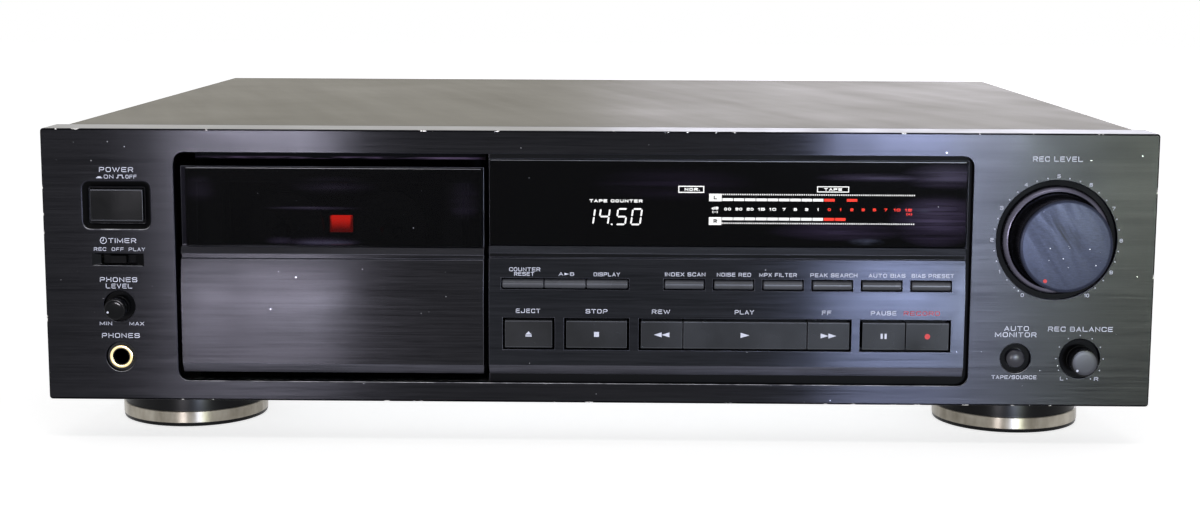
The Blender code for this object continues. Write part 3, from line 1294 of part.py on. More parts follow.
def phono_jacks(looks):
    centres = phono_centres()
    inner_face = BODY_DEPTH - REAR_PANEL_BACK_SET - SHEET - GAP
    left = min(x for x, _ in centres) - PHONO_BLOCK_MARGIN
    right = max(x for x, _ in centres) + PHONO_BLOCK_MARGIN
    bottom = min(height for _, height in centres) - PHONO_BLOCK_MARGIN
    top = max(height for _, height in centres) + PHONO_BLOCK_MARGIN
    body = block(
        "phono_jacks", left, right, inner_face - PHONO_BLOCK_DEPTH, inner_face, bottom, top,
        looks["black_plastic"],
    )
    barrels = []
    bores = []
    for index, (x, height) in enumerate(centres):
        barrels.append(rod(
            f"fuse_phono_barrel_{index}", x, height, PHONO_RADIUS,
            inner_face - OVERRUN, BODY_DEPTH + JACK_PROUD, steps=ROUND_STEPS,
        ))
        bores.append(rod(
            f"cut_phono_bore_{index}", x, height, PHONO_BORE_RADIUS,
            inner_face - PHONO_BLOCK_DEPTH / 2, BODY_DEPTH + JACK_PROUD + OVERRUN,
        ))
    return cut(fuse(body, *barrels), *bores)


def mains_inlet(looks):
    outer_face = BODY_DEPTH - REAR_PANEL_BACK_SET + GAP
    flange_back = outer_face + INLET_FLANGE_THICKNESS
    half_width, half_height = INLET_BODY_WIDTH / 2, INLET_BODY_HEIGHT / 2
    body = block(
        "mains_inlet", INLET_X - half_width, INLET_X + half_width,
        flange_back - INLET_BODY_DEPTH, flange_back,
        INLET_UP - half_height, INLET_UP + half_height, looks["black_plastic"],
    )
    flange = block(
        "fuse_inlet_flange", INLET_X - INLET_FLANGE_WIDTH / 2, INLET_X + INLET_FLANGE_WIDTH / 2,
        outer_face, flange_back, INLET_UP - INLET_FLANGE_HEIGHT / 2, INLET_UP + INLET_FLANGE_HEIGHT / 2,
    )
    half = INLET_PIN_SPACING / 2
    lobe = INLET_LOBE_RADIUS
    quarter = math.tau / 4
    mouth = arc((INLET_X + half, up(INLET_UP)), lobe, -quarter, quarter, SMALL_STEPS)
    mouth += arc((INLET_X - half, up(INLET_UP)), lobe, quarter, 3 * quarter, SMALL_STEPS)
    socket = prism(
        "cut_inlet_socket", [mouth], "y",
        into(flange_back - INLET_SOCKET_DEPTH), into(flange_back + OVERRUN),
    )
    cut(fuse(body, flange), socket)
    pins = [
        rod(
            f"fuse_inlet_pin_{side}", INLET_X + side * half, INLET_UP, INLET_PIN_RADIUS,
            flange_back - INLET_SOCKET_DEPTH - COMPONENT_SINK, flange_back - OVERRUN,
        )
        for side in (-1, 1)
    ]
    return fuse(body, *pins)


def foot(name, x, depth, looks):
    top = PAN_BOTTOM_UP + FOOT_LIFT - GAP
    profile = [
        (FOOT_SOLE_RADIUS, 0),
        (FOOT_LIP_RADIUS, FOOT_LIP_TOP),
        (FOOT_RING_RADIUS, FOOT_LIP_TOP),
        (FOOT_RING_RADIUS, FOOT_RING_TOP),
        (FOOT_RADIUS, FOOT_RING_TOP),
        (FOOT_RADIUS, top - FOOT_TOP_INSET),
        (FOOT_RADIUS - FOOT_TOP_INSET, top),
    ]
    return lathe(
        name, profile, (x, into(depth)), PLANE_TO_SPACE["z"], looks["black_plastic"],
        (x, into(depth), 0), FOOT_STEPS,
    )


# Mechanism
def hub_xs():
    return {side: DOOR_MIDDLE + sign * HUB_SPACING / 2 for side, sign in SIDES}


def capstan_xs():
    return {side: DOOR_MIDDLE + sign * CAPSTAN_SPACING / 2 for side, sign in SIDES}


SIDES = (("left", -1), ("right", 1))


def mech_plate(looks):
    outline = rectangle(
        DOOR_MIDDLE - MECH_HALF_WIDTH, up(PAN_TOP_UP + GAP),
        DOOR_MIDDLE + MECH_HALF_WIDTH, up(MECH_TOP_UP),
    )
    lamp_hole = centred_box(DOOR_MIDDLE, LAMP_UP, LAMP_WIDTH + 2 * GAP, LAMP_HEIGHT + 2 * GAP)
    plate = prism(
        "mech_plate", [outline, lamp_hole], "y",
        into(MECH_FRONT_DEPTH), into(MECH_BACK_OF_FRONT), looks["zinc_steel"],
    )
    floor_flange = block(
        "fuse_mech_flange", DOOR_MIDDLE - MECH_HALF_WIDTH, DOOR_MIDDLE + MECH_HALF_WIDTH,
        MECH_FRONT_DEPTH, MECH_FRONT_DEPTH + MECH_FLOOR_FLANGE,
        PAN_TOP_UP + GAP, PAN_TOP_UP + GAP + MECH_SHEET,
    )
    back_plate = block(
        "fuse_mech_back", DOOR_MIDDLE - MECH_BACK_HALF_WIDTH, DOOR_MIDDLE + MECH_BACK_HALF_WIDTH,
        MECH_BACK_DEPTH, MECH_BACK_DEPTH + MECH_SHEET, MECH_BACK_BOTTOM_UP, MECH_TOP_UP,
    )
    parts = [floor_flange, back_plate]
    bores = []
    post_out = MECH_BACK_HALF_WIDTH - MECH_POST_INSET
    post_heights = (MECH_BACK_BOTTOM_UP + MECH_POST_INSET, MECH_TOP_UP - MECH_POST_INSET)
    ear_outline = arc(
        (into(DOOR_PIVOT_DEPTH), up(DOOR_PIVOT_UP)), DOOR_LUG_RADIUS,
        math.tau / 4, 3 * math.tau / 4, SMALL_STEPS,
    )
    ear_outline += [
        (into(MECH_BACK_OF_FRONT), up(DOOR_PIVOT_UP - DOOR_LUG_RADIUS)),
        (into(MECH_BACK_OF_FRONT), up(DOOR_PIVOT_UP + DOOR_LUG_RADIUS)),
    ]
    ear_bore = circle(
        (into(DOOR_PIVOT_DEPTH), up(DOOR_PIVOT_UP)), DOOR_PIN_RADIUS + GAP, SMALL_STEPS
    )
    for side, sign in SIDES:
        for index, height in enumerate(post_heights):
            parts.append(rod(
                f"fuse_mech_post_{side}_{index}", DOOR_MIDDLE + sign * post_out, height,
                MECH_POST_RADIUS, MECH_FRONT_DEPTH + GAP, MECH_BACK_DEPTH + MECH_SHEET - GAP,
            ))
        for kind, centres, height in (
            ("capstan", capstan_xs(), CAPSTAN_UP), ("spindle", hub_xs(), HUB_UP),
        ):
            parts.append(rod(
                f"fuse_{kind}_boss_{side}", centres[side], height, BOSS_RADIUS,
                MECH_FRONT_DEPTH + GAP, MECH_BACK_OF_FRONT + BOSS_LENGTH * (kind == "capstan")
                + BOSS_LENGTH / 2 * (kind == "spindle"),
            ))
            radius = CAPSTAN_RADIUS if kind == "capstan" else SPINDLE_SHAFT_RADIUS
            bores.append(rod(
                f"cut_{kind}_bore_{side}", centres[side], height, radius + GAP,
                MECH_FRONT_DEPTH - OVERRUN, MECH_BACK_OF_FRONT + BOSS_LENGTH + OVERRUN,
            ))
        bores.append(rod(
            f"cut_flywheel_stub_{side}", capstan_xs()[side], CAPSTAN_UP, FLYWHEEL_STUB_RADIUS + GAP,
            MECH_BACK_DEPTH - OVERRUN, MECH_BACK_DEPTH + MECH_SHEET + OVERRUN,
        ))
        ear_near = DOOR_MIDDLE + sign * EAR_INNER
        ear_far = ear_near + sign * EAR_THICKNESS
        parts.append(prism(
            f"fuse_mech_ear_{side}", [ear_outline, ear_bore], "x",
            min(ear_near, ear_far), max(ear_near, ear_far),
        ))
        parts.append(rod(
            f"fuse_arm_pivot_{side}", DOOR_MIDDLE + sign * ARM_PIVOT_X, ARM_PIVOT_UP,
            ARM_PIVOT_PIN_RADIUS, ARM_FRONT_DEPTH, MECH_BACK_OF_FRONT - GAP,
        ))
    bores.append(rod(
        "cut_motor_shaft", DOOR_MIDDLE, PULLEY_UP, PULLEY_SHAFT_RADIUS + 2 * GAP,
        MECH_BACK_DEPTH - OVERRUN, MECH_BACK_DEPTH + MECH_SHEET + OVERRUN,
    ))
    return cut(fuse(plate, *parts), *bores)


def reel_spindle(name, x, looks):
    table_back = SPINDLE_TABLE_DEPTH + SPINDLE_TABLE_THICKNESS
    profile = [
        (SPINDLE_TIP_RADIUS, SPINDLE_TIP_DEPTH),
        (SPINDLE_CORE_RADIUS, SPINDLE_VANE_DEPTH),
        (SPINDLE_CORE_RADIUS, SPINDLE_TABLE_DEPTH),
        (SPINDLE_TABLE_RADIUS, SPINDLE_TABLE_DEPTH),
        (SPINDLE_TABLE_RADIUS, table_back),
        (SPINDLE_SHAFT_RADIUS, table_back),
        (SPINDLE_SHAFT_RADIUS, SPINDLE_END_DEPTH),
    ]
    spindle = turned(name, profile, x, HUB_UP, looks["black_plastic"])
    vane_step = math.tau / SPINDLE_VANE_COUNT
    half_vane = vane_step / 6
    star = []
    for index in range(SPINDLE_VANE_COUNT):
        middle = index * vane_step
        for turn, radius in (
            (-2 * half_vane, SPINDLE_CORE_RADIUS - GAP), (-half_vane, SPINDLE_VANE_RADIUS),
            (half_vane, SPINDLE_VANE_RADIUS), (2 * half_vane, SPINDLE_CORE_RADIUS - GAP),
        ):
            star.append((
                x + radius * math.cos(middle + turn), up(HUB_UP) + radius * math.sin(middle + turn)
            ))
    vanes = prism(
        f"fuse_{name}_vanes", [star], "y", into(SPINDLE_VANE_DEPTH + GAP),
        into(SPINDLE_TABLE_DEPTH + GAP),
    )
    return fuse(spindle, vanes)


def capstan(name, x, looks):
    rim_back = FLYWHEEL_FRONT_DEPTH + FLYWHEEL_THICKNESS
    stub_end = MECH_BACK_DEPTH + MECH_SHEET - GAP
    profile = [
        (CAPSTAN_RADIUS, SPINDLE_TIP_DEPTH),
        (CAPSTAN_RADIUS, FLYWHEEL_FRONT_DEPTH),
        (FLYWHEEL_RADIUS, FLYWHEEL_FRONT_DEPTH),
        (FLYWHEEL_RADIUS, rim_back),
        (FLYWHEEL_STUB_RADIUS, rim_back),
        (FLYWHEEL_STUB_RADIUS, stub_end),
    ]
    return turned(name, profile, x, CAPSTAN_UP, looks["bright_steel"], steps=FOOT_STEPS)


def motor_pulley(looks):
    belt_front = BELT_FRONT_DEPTH - GAP
    belt_back = BELT_FRONT_DEPTH + BELT_WIDTH + GAP
    profile = [
        (PULLEY_FLANGE_RADIUS, belt_front - PULLEY_FLANGE_THICKNESS),
        (PULLEY_FLANGE_RADIUS, belt_front),
        (PULLEY_RADIUS, belt_front),
        (PULLEY_RADIUS, belt_back),
        (PULLEY_FLANGE_RADIUS, belt_back),
        (PULLEY_FLANGE_RADIUS, belt_back + PULLEY_FLANGE_THICKNESS),
        (PULLEY_SHAFT_RADIUS, belt_back + PULLEY_FLANGE_THICKNESS),
        (PULLEY_SHAFT_RADIUS, PULLEY_SHAFT_END_DEPTH),
    ]
    return turned("motor_pulley", profile, DOOR_MIDDLE, PULLEY_UP, looks["brass"])


def capstan_motor(looks):
    front = MOTOR_FRONT_DEPTH
    back = front + MOTOR_LENGTH
    profile = [
        (MOTOR_RADIUS, front),
        (MOTOR_RADIUS, back - MOTOR_EDGE),
        (MOTOR_RADIUS - MOTOR_EDGE, back),
    ]
    motor = turned("capstan_motor", profile, DOOR_MIDDLE, PULLEY_UP, looks["bright_steel"])
    bore = rod(
        "cut_motor_bore", DOOR_MIDDLE, PULLEY_UP, MOTOR_BORE_RADIUS,
        front - OVERRUN, PULLEY_SHAFT_END_DEPTH + OVERRUN,
    )
    return cut(motor, bore)


def drive_belt(looks):
    left, right = capstan_xs()["left"], capstan_xs()["right"]
    wheels = [
        (left, up(CAPSTAN_UP), FLYWHEEL_RADIUS),
        (right, up(CAPSTAN_UP), FLYWHEEL_RADIUS),
        (DOOR_MIDDLE, up(PULLEY_UP), PULLEY_RADIUS),
    ]
    inside = belt_outline(wheels, GAP, FOOT_STEPS)
    outside = belt_outline(wheels, GAP + BELT_THICKNESS, FOOT_STEPS)
    return prism(
        "drive_belt", [outside, inside], "y",
        into(BELT_FRONT_DEPTH), into(BELT_FRONT_DEPTH + BELT_WIDTH), looks["rubber"],
    )


def head_bridge(looks):
    back = MECH_FRONT_DEPTH - BRIDGE_GAP
    front = back - BRIDGE_SHEET
    origin = (DOOR_MIDDLE, into(front), up(SHELF_UP))
    bridge = block(
        "head_bridge", DOOR_MIDDLE - BRIDGE_HALF_WIDTH, DOOR_MIDDLE + BRIDGE_HALF_WIDTH,
        front, back, BRIDGE_BOTTOM_UP, BRIDGE_TOP_UP, looks["bright_steel"], origin,
    )
    shelf = block(
        "fuse_bridge_shelf", DOOR_MIDDLE - SHELF_HALF_WIDTH, DOOR_MIDDLE + SHELF_HALF_WIDTH,
        SHELF_FRONT_DEPTH, back - GAP, SHELF_UP, SHELF_UP + BRIDGE_SHEET,
    )
    guides = [
        block(
            f"fuse_tape_guide_{side}",
            DOOR_MIDDLE + sign * (SHELF_HALF_WIDTH - GUIDE_WIDTH / 2 - GAP) - GUIDE_WIDTH / 2,
            DOOR_MIDDLE + sign * (SHELF_HALF_WIDTH - GUIDE_WIDTH / 2 - GAP) + GUIDE_WIDTH / 2,
            SHELF_FRONT_DEPTH + GAP, HEAD_FRONT_DEPTH + HEAD_DEPTH / 2,
            SHELF_UP + GAP, GUIDE_TOP_UP,
        )
        for side, sign in SIDES
    ]
    return fuse(bridge, shelf, *guides)


def tape_head(looks):
    """Record and playback head, with its crowned face towards the tape."""
    half = HEAD_WIDTH / 2
    rise = HEAD_TOP_UP - HEAD_SIDE_UP
    crown = [
        (DOOR_MIDDLE + half * math.cos(angle), up(HEAD_SIDE_UP) + rise * math.sin(angle))
        for angle in (math.pi * step / SMALL_STEPS for step in range(SMALL_STEPS + 1))
    ]
    seat = up(SHELF_UP + BRIDGE_SHEET + GAP)
    outline = crown + [(DOOR_MIDDLE - half, seat), (DOOR_MIDDLE + half, seat)]
    back = MECH_FRONT_DEPTH - BRIDGE_GAP - BRIDGE_SHEET
    return prism(
        "tape_head", [outline], "y", into(HEAD_FRONT_DEPTH), into(HEAD_FRONT_DEPTH + HEAD_DEPTH),
        looks["bright_steel"], (DOOR_MIDDLE, into(back), up(SHELF_UP)),
    )


def roller_x(sign):
    """Place of a pinch roller at rest, on its arm's arc, which passes its capstan at the top."""
    arm = math.hypot(ARM_PIVOT_OUT, ARM_PIVOT_UP - ROLLER_REST_UP)
    drop = ARM_PIVOT_UP - ROLLER_REST_UP
    return DOOR_MIDDLE + sign * (ARM_PIVOT_X - math.sqrt(arm * arm - drop * drop))


def pinch_arm(name, sign, looks):
    pivot = (DOOR_MIDDLE + sign * ARM_PIVOT_X, up(ARM_PIVOT_UP))
    tip = (roller_x(sign), up(ROLLER_REST_UP))
    heading = math.atan2(tip[1] - pivot[1], tip[0] - pivot[0])
    quarter = math.tau / 4
    outline = arc(pivot, ARM_HUB_RADIUS, heading + quarter, heading + 3 * quarter, SMALL_STEPS)
    outline += arc(tip, ARM_HUB_RADIUS, heading - quarter, heading + quarter, SMALL_STEPS)
    hole = circle(pivot, ARM_PIVOT_PIN_RADIUS + GAP, SMALL_STEPS)
    arm = prism(
        name, [outline, hole], "y", into(ARM_FRONT_DEPTH), into(ARM_FRONT_DEPTH + ARM_THICKNESS),
        looks["bright_steel"], (pivot[0], into(ARM_FRONT_DEPTH), pivot[1]),
    )
    pin = rod(
        f"fuse_{name}_pin", tip[0], ROLLER_REST_UP, ROLLER_PIN_RADIUS,
        ROLLER_FRONT_DEPTH - GAP, ARM_FRONT_DEPTH + ARM_THICKNESS - GAP,
    )
    spacer = rod(
        f"fuse_{name}_spacer", tip[0], ROLLER_REST_UP, 2 * ROLLER_PIN_RADIUS,
        ROLLER_FRONT_DEPTH + ROLLER_LENGTH + GAP, ARM_FRONT_DEPTH + ARM_THICKNESS - GAP,
    )
    return fuse(arm, pin, spacer)


def pinch_roller(name, sign, looks):
    x = roller_x(sign)
    loops = [
        circle((x, up(ROLLER_REST_UP)), ROLLER_RADIUS, ROUND_STEPS),
        circle((x, up(ROLLER_REST_UP)), ROLLER_BORE_RADIUS, SMALL_STEPS),
    ]
    return prism(
        name, loops, "y", into(ROLLER_FRONT_DEPTH), into(ROLLER_FRONT_DEPTH + ROLLER_LENGTH),
        looks["rubber"], (x, into(ROLLER_FRONT_DEPTH), up(ROLLER_REST_UP)),
    )


def cassette_lamp(looks):
    outline = centred_box(DOOR_MIDDLE, LAMP_UP, LAMP_WIDTH, LAMP_HEIGHT)
    return prism(
        "cassette_lamp", [outline], "y", into(LAMP_FRONT_DEPTH),
        into(LAMP_FRONT_DEPTH + LAMP_LENGTH), looks["red_lamp"],
    )


# Electronics inside
CAPACITOR_SHARES = ((0.70, 0.72), (0.80, 0.72), (0.70, 0.84), (0.12, 0.30), (0.12, 0.42))
CHIP_SHARES = ((0.30, 0.25), (0.48, 0.25), (0.35, 0.55), (0.62, 0.45), (0.80, 0.20))
HEAT_SINK_SHARE = (0.40, 0.85)


def main_board(looks):
    left = TRANSFORMER_X + STRAP_WIDTH / 2 + MAIN_BOARD_SPACE
    right = PAN_HALF_WIDTH - MAIN_BOARD_RIGHT_MARGIN
    front = MAIN_BOARD_FRONT_DEPTH
    back = PAN_BACK_DEPTH - MAIN_BOARD_BACK_MARGIN
    bottom = PAN_TOP_UP + GAP + PILLAR_HEIGHT
    top = bottom + BOARD_THICKNESS
    board = block(
        "main_board", left, right, front, back, bottom, top, looks["board_green"]
    )

    def place(share):
        return left + (right - left) * share[0], into(front + (back - front) * share[1])

    parts = []
    for x in (left + PILLAR_INSET, right - PILLAR_INSET):
        for y in (into(front + PILLAR_INSET), into(back - PILLAR_INSET)):
            parts.append(prism(
                "fuse_board_pillar", [circle((x, y), PILLAR_RADIUS, SMALL_STEPS)], "z",
                up(PAN_TOP_UP + GAP), up(bottom + COMPONENT_SINK),
            ))
    for share in CAPACITOR_SHARES:
        parts.append(prism(
            "fuse_capacitor", [circle(place(share), CAPACITOR_RADIUS, CAN_STEPS)], "z",
            up(top - COMPONENT_SINK), up(top + CAPACITOR_HEIGHT),
        ))
    for share in CHIP_SHARES:
        x, y = place(share)
        parts.append(prism(
            "fuse_chip",
            [rectangle(x - CHIP_LENGTH / 2, y - CHIP_WIDTH / 2, x + CHIP_LENGTH / 2, y + CHIP_WIDTH / 2)],
            "z", up(top - COMPONENT_SINK), up(top + CHIP_HEIGHT),
        ))
    x, y = place(HEAT_SINK_SHARE)
    parts.append(prism(
        "fuse_heat_sink",
        [rectangle(
            x - HEAT_SINK_WIDTH / 2, y - HEAT_SINK_THICKNESS / 2,
            x + HEAT_SINK_WIDTH / 2, y + HEAT_SINK_THICKNESS / 2,
        )],
        "z", up(top - COMPONENT_SINK), up(top + HEAT_SINK_HEIGHT),
    ))
    return fuse(board, *parts)


def transformer(looks):
    x = TRANSFORMER_X
    middle = BODY_DEPTH - TRANSFORMER_FROM_BACK
    bottom = PAN_TOP_UP + GAP
    core = block(
        "transformer", x - CORE_WIDTH / 2, x + CORE_WIDTH / 2,
        middle - CORE_DEPTH / 2, middle + CORE_DEPTH / 2,
        bottom, bottom + CORE_HEIGHT, looks["zinc_steel"],
    )
    rise = (CORE_HEIGHT - COIL_HEIGHT) / 2
    coil = prism(
        "fuse_coil",
        [rounded_rectangle(
            x - COIL_WIDTH / 2, into(middle - COIL_DEPTH / 2),
            x + COIL_WIDTH / 2, into(middle + COIL_DEPTH / 2), COIL_CORNER,
        )],
        "z", up(bottom + rise), up(bottom + rise + COIL_HEIGHT),
    )
    strap = block(
        "fuse_strap", x - STRAP_WIDTH / 2, x + STRAP_WIDTH / 2,
        middle - CORE_DEPTH / 3, middle + CORE_DEPTH / 3, bottom, bottom + STRAP_THICKNESS,
    )
    return fuse(core, coil, strap)


def build_deck():
    looks = all_materials()
    front_panel(looks)
    control_panel(looks)
    display_window(looks)
    display_tube(looks)
    front_board(looks)
    door_panel(looks)
    door_window(looks)
    cassette_holder(looks)
    for layout, maker in ((transport_layout(), transport_key), (small_key_layout(), small_key)):
        for _, _, keys in layout:
            for name, left, right in keys:
                maker(name, left, right, looks)
    power_button(looks)
    timer_slider(looks)
    small_knob(
        "phones_knob", LEFT_COLUMN, PHONES_KNOB_UP, PHONES_KNOB_RADIUS, PHONES_KNOB_PROUD,
        PHONES_POT_DEPTH, looks,
    )
    small_knob(
        "balance_knob", BALANCE_X, BALANCE_UP, BALANCE_KNOB_RADIUS, BALANCE_KNOB_PROUD,
        BALANCE_POT_DEPTH, looks,
    )
    record_level_knob(looks)
    monitor_button(looks)
    potentiometer(
        "record_level_pot", RECORD_KNOB_X, RECORD_KNOB_UP, BIG_POT_SIDE, BIG_POT_DEPTH,
        BIG_SHAFT_RADIUS, looks,
    )
    potentiometer(
        "phones_pot", LEFT_COLUMN, PHONES_KNOB_UP, PHONES_POT_SIDE, PHONES_POT_DEPTH,
        SMALL_SHAFT_RADIUS, looks,
    )
    balance_pot(looks)
    phones_jack(looks)
    top_cover(looks)
    chassis_pan(looks)
    rear_panel(looks)
    phono_jacks(looks)
    mains_inlet(looks)
    rear_foot_depth = BODY_DEPTH - FOOT_REAR_FROM_BACK
    for row, depth in (("front", FOOT_FRONT_DEPTH), ("rear", rear_foot_depth)):
        for side, sign in SIDES:
            foot(f"foot_{row}_{side}", sign * FOOT_X, depth, looks)
    mech_plate(looks)
    for side, sign in SIDES:
        reel_spindle(f"reel_spindle_{side}", hub_xs()[side], looks)
        capstan(f"capstan_{side}", capstan_xs()[side], looks)
        pinch_arm(f"pinch_arm_{side}", sign, looks)
        pinch_roller(f"pinch_roller_{side}", sign, looks)
    motor_pulley(looks)
    capstan_motor(looks)
    drive_belt(looks)
    head_bridge(looks)
    tape_head(looks)
    cassette_lamp(looks)
    main_board(looks)
    transformer(looks)


for old in list(bpy.data.objects):
    bpy.data.objects.remove(old, do_unlink=True)
build_deck()
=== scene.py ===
"""Looks of the cassette deck: finishes, lettering, lit display and fine surface shapes.

Places on the front are in millimetres: x from the middle of the width, up from the front
panel's bottom edge, depth behind the panel's front face.
"""

import json
import math

import bmesh
import bpy
from mathutils import Matrix, Vector


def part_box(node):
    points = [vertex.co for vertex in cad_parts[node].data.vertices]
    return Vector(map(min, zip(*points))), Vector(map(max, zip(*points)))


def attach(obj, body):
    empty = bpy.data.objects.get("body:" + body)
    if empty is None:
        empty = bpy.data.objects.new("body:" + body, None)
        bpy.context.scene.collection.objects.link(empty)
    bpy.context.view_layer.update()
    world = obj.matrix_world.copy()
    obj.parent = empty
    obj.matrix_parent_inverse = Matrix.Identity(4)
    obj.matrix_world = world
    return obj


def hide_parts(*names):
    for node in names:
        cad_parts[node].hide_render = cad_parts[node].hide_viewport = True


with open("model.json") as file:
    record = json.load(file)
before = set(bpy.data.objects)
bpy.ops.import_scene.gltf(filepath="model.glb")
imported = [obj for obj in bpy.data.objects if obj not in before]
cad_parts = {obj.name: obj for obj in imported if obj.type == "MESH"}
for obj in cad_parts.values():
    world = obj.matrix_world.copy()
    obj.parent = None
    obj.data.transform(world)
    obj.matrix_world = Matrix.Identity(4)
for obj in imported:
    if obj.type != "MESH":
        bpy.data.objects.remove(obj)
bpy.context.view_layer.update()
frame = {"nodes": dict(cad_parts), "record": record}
NODES = frame["nodes"]

MM = 0.001
PANEL_LOW, PANEL_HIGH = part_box("front_panel")
FRONT = PANEL_LOW.y
BASE = PANEL_LOW.z


def place(x, up, depth=0.0):
    return Vector((x * MM, FRONT + depth * MM, BASE + up * MM))


def body_with(node):
    for body, members in frame["record"]["behaviour"]["bodies"].items():
        if node in members:
            return body
    raise ValueError(node)


# Procedural finishes
SPECK = (0.4, 0.4, 0.44)


class Look:
    """A material with its node tree and a few shorthands for building patterns."""

    def __init__(self, name, colour, roughness, metallic=0.0, ior=1.45, **more):
        self.material = bpy.data.materials.new(name)
        self.material.use_nodes = True
        self.material.diffuse_color = (*colour, 1.0)
        self.tree = self.material.node_tree
        self.sockets = self.tree.nodes["Principled BSDF"].inputs
        more.update(Base_Color=(*colour, 1.0), Roughness=roughness, Metallic=metallic, IOR=ior)
        for key, value in more.items():
            self.sockets[key.replace("_", " ")].default_value = value

    def add(self, kind, **settings):
        node = self.tree.nodes.new(kind)
        for key, value in settings.items():
            setattr(node, key, value)
        return node

    def join(self, source, target):
        self.tree.links.new(source, target)

    def space(self, scale, turn=(0, 0, 0)):
        """The piece's own space, in cells per metre: one number, or one for each axis."""
        scales = scale if isinstance(scale, tuple) else (scale,) * 3
        coordinates = self.add("ShaderNodeTexCoord")
        mapping = self.add("ShaderNodeMapping", vector_type="TEXTURE")
        mapping.inputs["Scale"].default_value = [1.0 / value for value in scales]
        mapping.inputs["Rotation"].default_value = turn
        self.join(coordinates.outputs["Object"], mapping.inputs["Vector"])
        return mapping.outputs["Vector"]

    def texture(self, kind, space, values=(), **settings):
        node = self.add(kind, **settings)
        for key, value in (("Scale", 1.0), *values):
            node.inputs[key].default_value = value
        self.join(space, node.inputs["Vector"])
        return node

    def noise(self, scale, detail=2.0, roughness=0.5, turn=(0, 0, 0), distortion=0.0):
        values = (("Detail", detail), ("Roughness", roughness), ("Distortion", distortion))
        return self.texture("ShaderNodeTexNoise", self.space(scale, turn), values).outputs["Fac"]

    def cells(self, scale):
        """Distance from the middle of the nearest cell, and that cell's random value."""
        node = self.texture("ShaderNodeTexVoronoi", self.space(scale), feature="F1")
        split = self.add("ShaderNodeSeparateColor")
        self.join(node.outputs["Color"], split.inputs["Color"])
        return node.outputs["Distance"], split.outputs["Red"]

    def remap(self, source, low, high, to_low=0.0, to_high=1.0):
        node = self.add("ShaderNodeMapRange", clamp=True)
        ends = {"From Min": low, "From Max": high, "To Min": to_low, "To Max": to_high}
        for key, value in ends.items():
            node.inputs[key].default_value = value
        self.join(source, node.inputs["Value"])
        return node.outputs["Result"]

    def math(self, operation, one, other=None):
        node = self.add("ShaderNodeMath", operation=operation)
        for socket, value in zip(node.inputs, (one, other)):
            if isinstance(value, bpy.types.NodeSocket):
                self.join(value, socket)
            elif value is not None:
                socket.default_value = value
        return node.outputs[0]

    def times(self, one, other):
        return self.math("MULTIPLY", one, other)

    def highest(self, first, *others):
        for other in others:
            first = self.math("MAXIMUM", first, other)
        return first

    def weighted(self, one, other, share):
        """The first value by its share, and the other by the rest."""
        return self.math("ADD", self.times(one, share), self.times(other, 1.0 - share))

    def distance(self, value, point):
        return self.math("ABSOLUTE", self.math("SUBTRACT", value, point))

    def blend(self, factor, one, other):
        node = self.add("ShaderNodeMix", data_type="RGBA")
        self.join(factor, node.inputs["Factor"])
        for key, value in (("A", one), ("B", other)):
            socket = next(s for s in node.inputs if s.name == key and s.type == "RGBA")
            if isinstance(value, bpy.types.NodeSocket):
                self.join(value, socket)
            else:
                socket.default_value = (*value, 1.0)
        return next(s for s in node.outputs if s.type == "RGBA")

    def shades(self, source, low, high, dark, light):
        """Colour from dark to light while the source goes from low to high."""
        return self.blend(self.remap(source, low, high), dark, light)

    def specks(self, scale, size, share):
        """Mask of sparse round specks: cells per metre, size in cells, share of cells kept."""
        distance, luck = self.cells(scale)
        return self.math("LESS_THAN", distance, self.remap(luck, 1.0 - share, 1.0, 0.0, size))

    def dusted(self, base, scale, size, share):
        return self.blend(self.specks(scale, size, share), base, SPECK)

    def axis_value(self, axis):
        coordinates = self.add("ShaderNodeTexCoord")
        split = self.add("ShaderNodeSeparateXYZ")
        self.join(coordinates.outputs["Object"], split.inputs["Vector"])
        return split.outputs[axis]

    def rough(self, source, low, high, to_low, to_high):
        self.join(self.remap(source, low, high, to_low, to_high), self.sockets["Roughness"])

    def colour(self, socket):
        self.join(socket, self.sockets["Base Color"])

    def bump(self, height, strength, microns):
        node = self.add("ShaderNodeBump")
        node.inputs["Strength"].default_value = strength
        node.inputs["Distance"].default_value = microns / 1e6
        self.join(height, node.inputs["Height"])
        self.join(node.outputs["Normal"], self.sockets["Normal"])

    def brush_along(self, axis):
        """Brush lines run along x or round z, and gloss spreads across them."""
        tangent = self.add("ShaderNodeTangent", direction_type="RADIAL", axis=axis)
        self.join(tangent.outputs["Tangent"], self.sockets["Tangent"])


def brushed(name, dark, light, roughness, painted_shade_heights=None):
    """Aluminium brushed lengthways and dyed, with fine streaks, wipe marks and dust.

    It is painted black below and above the two given heights, as painted shade.
    """
    look = Look(name, dark, roughness, 1.0, Anisotropic=1.0)
    streak = look.noise((34, 2300, 2300), 3.0, 0.65)
    hair = look.noise((110, 4200, 4200), 1.0)
    coarse = look.noise((9, 620, 620), 2.0, 0.6)
    cloud = look.noise((16, 30, 30), 3.0, 0.6)
    lines = look.weighted(streak, hair, 0.7)
    mixed = look.weighted(lines, coarse, 0.7)
    base = look.dusted(look.shades(mixed, 0.36, 0.66, dark, light), 300, 0.065, 0.28)
    # Painted shade: black below and above the two heights.
    if painted_shade_heights:
        height = look.axis_value("Z")
        below = look.math("LESS_THAN", height, painted_shade_heights[0])
        above = look.math("GREATER_THAN", height, painted_shade_heights[1])
        base = look.blend(look.highest(below, above), base, (0.0015, 0.0015, 0.002))
    look.colour(base)
    grain = look.remap(lines, 0.3, 0.7, -0.035, 0.035)
    wiped = look.remap(cloud, 0.35, 0.7, roughness - 0.03, roughness + 0.04)
    look.join(look.math("ADD", grain, wiped), look.sockets["Roughness"])
    look.bump(lines, 0.1, 20)
    look.brush_along("X")
    return look


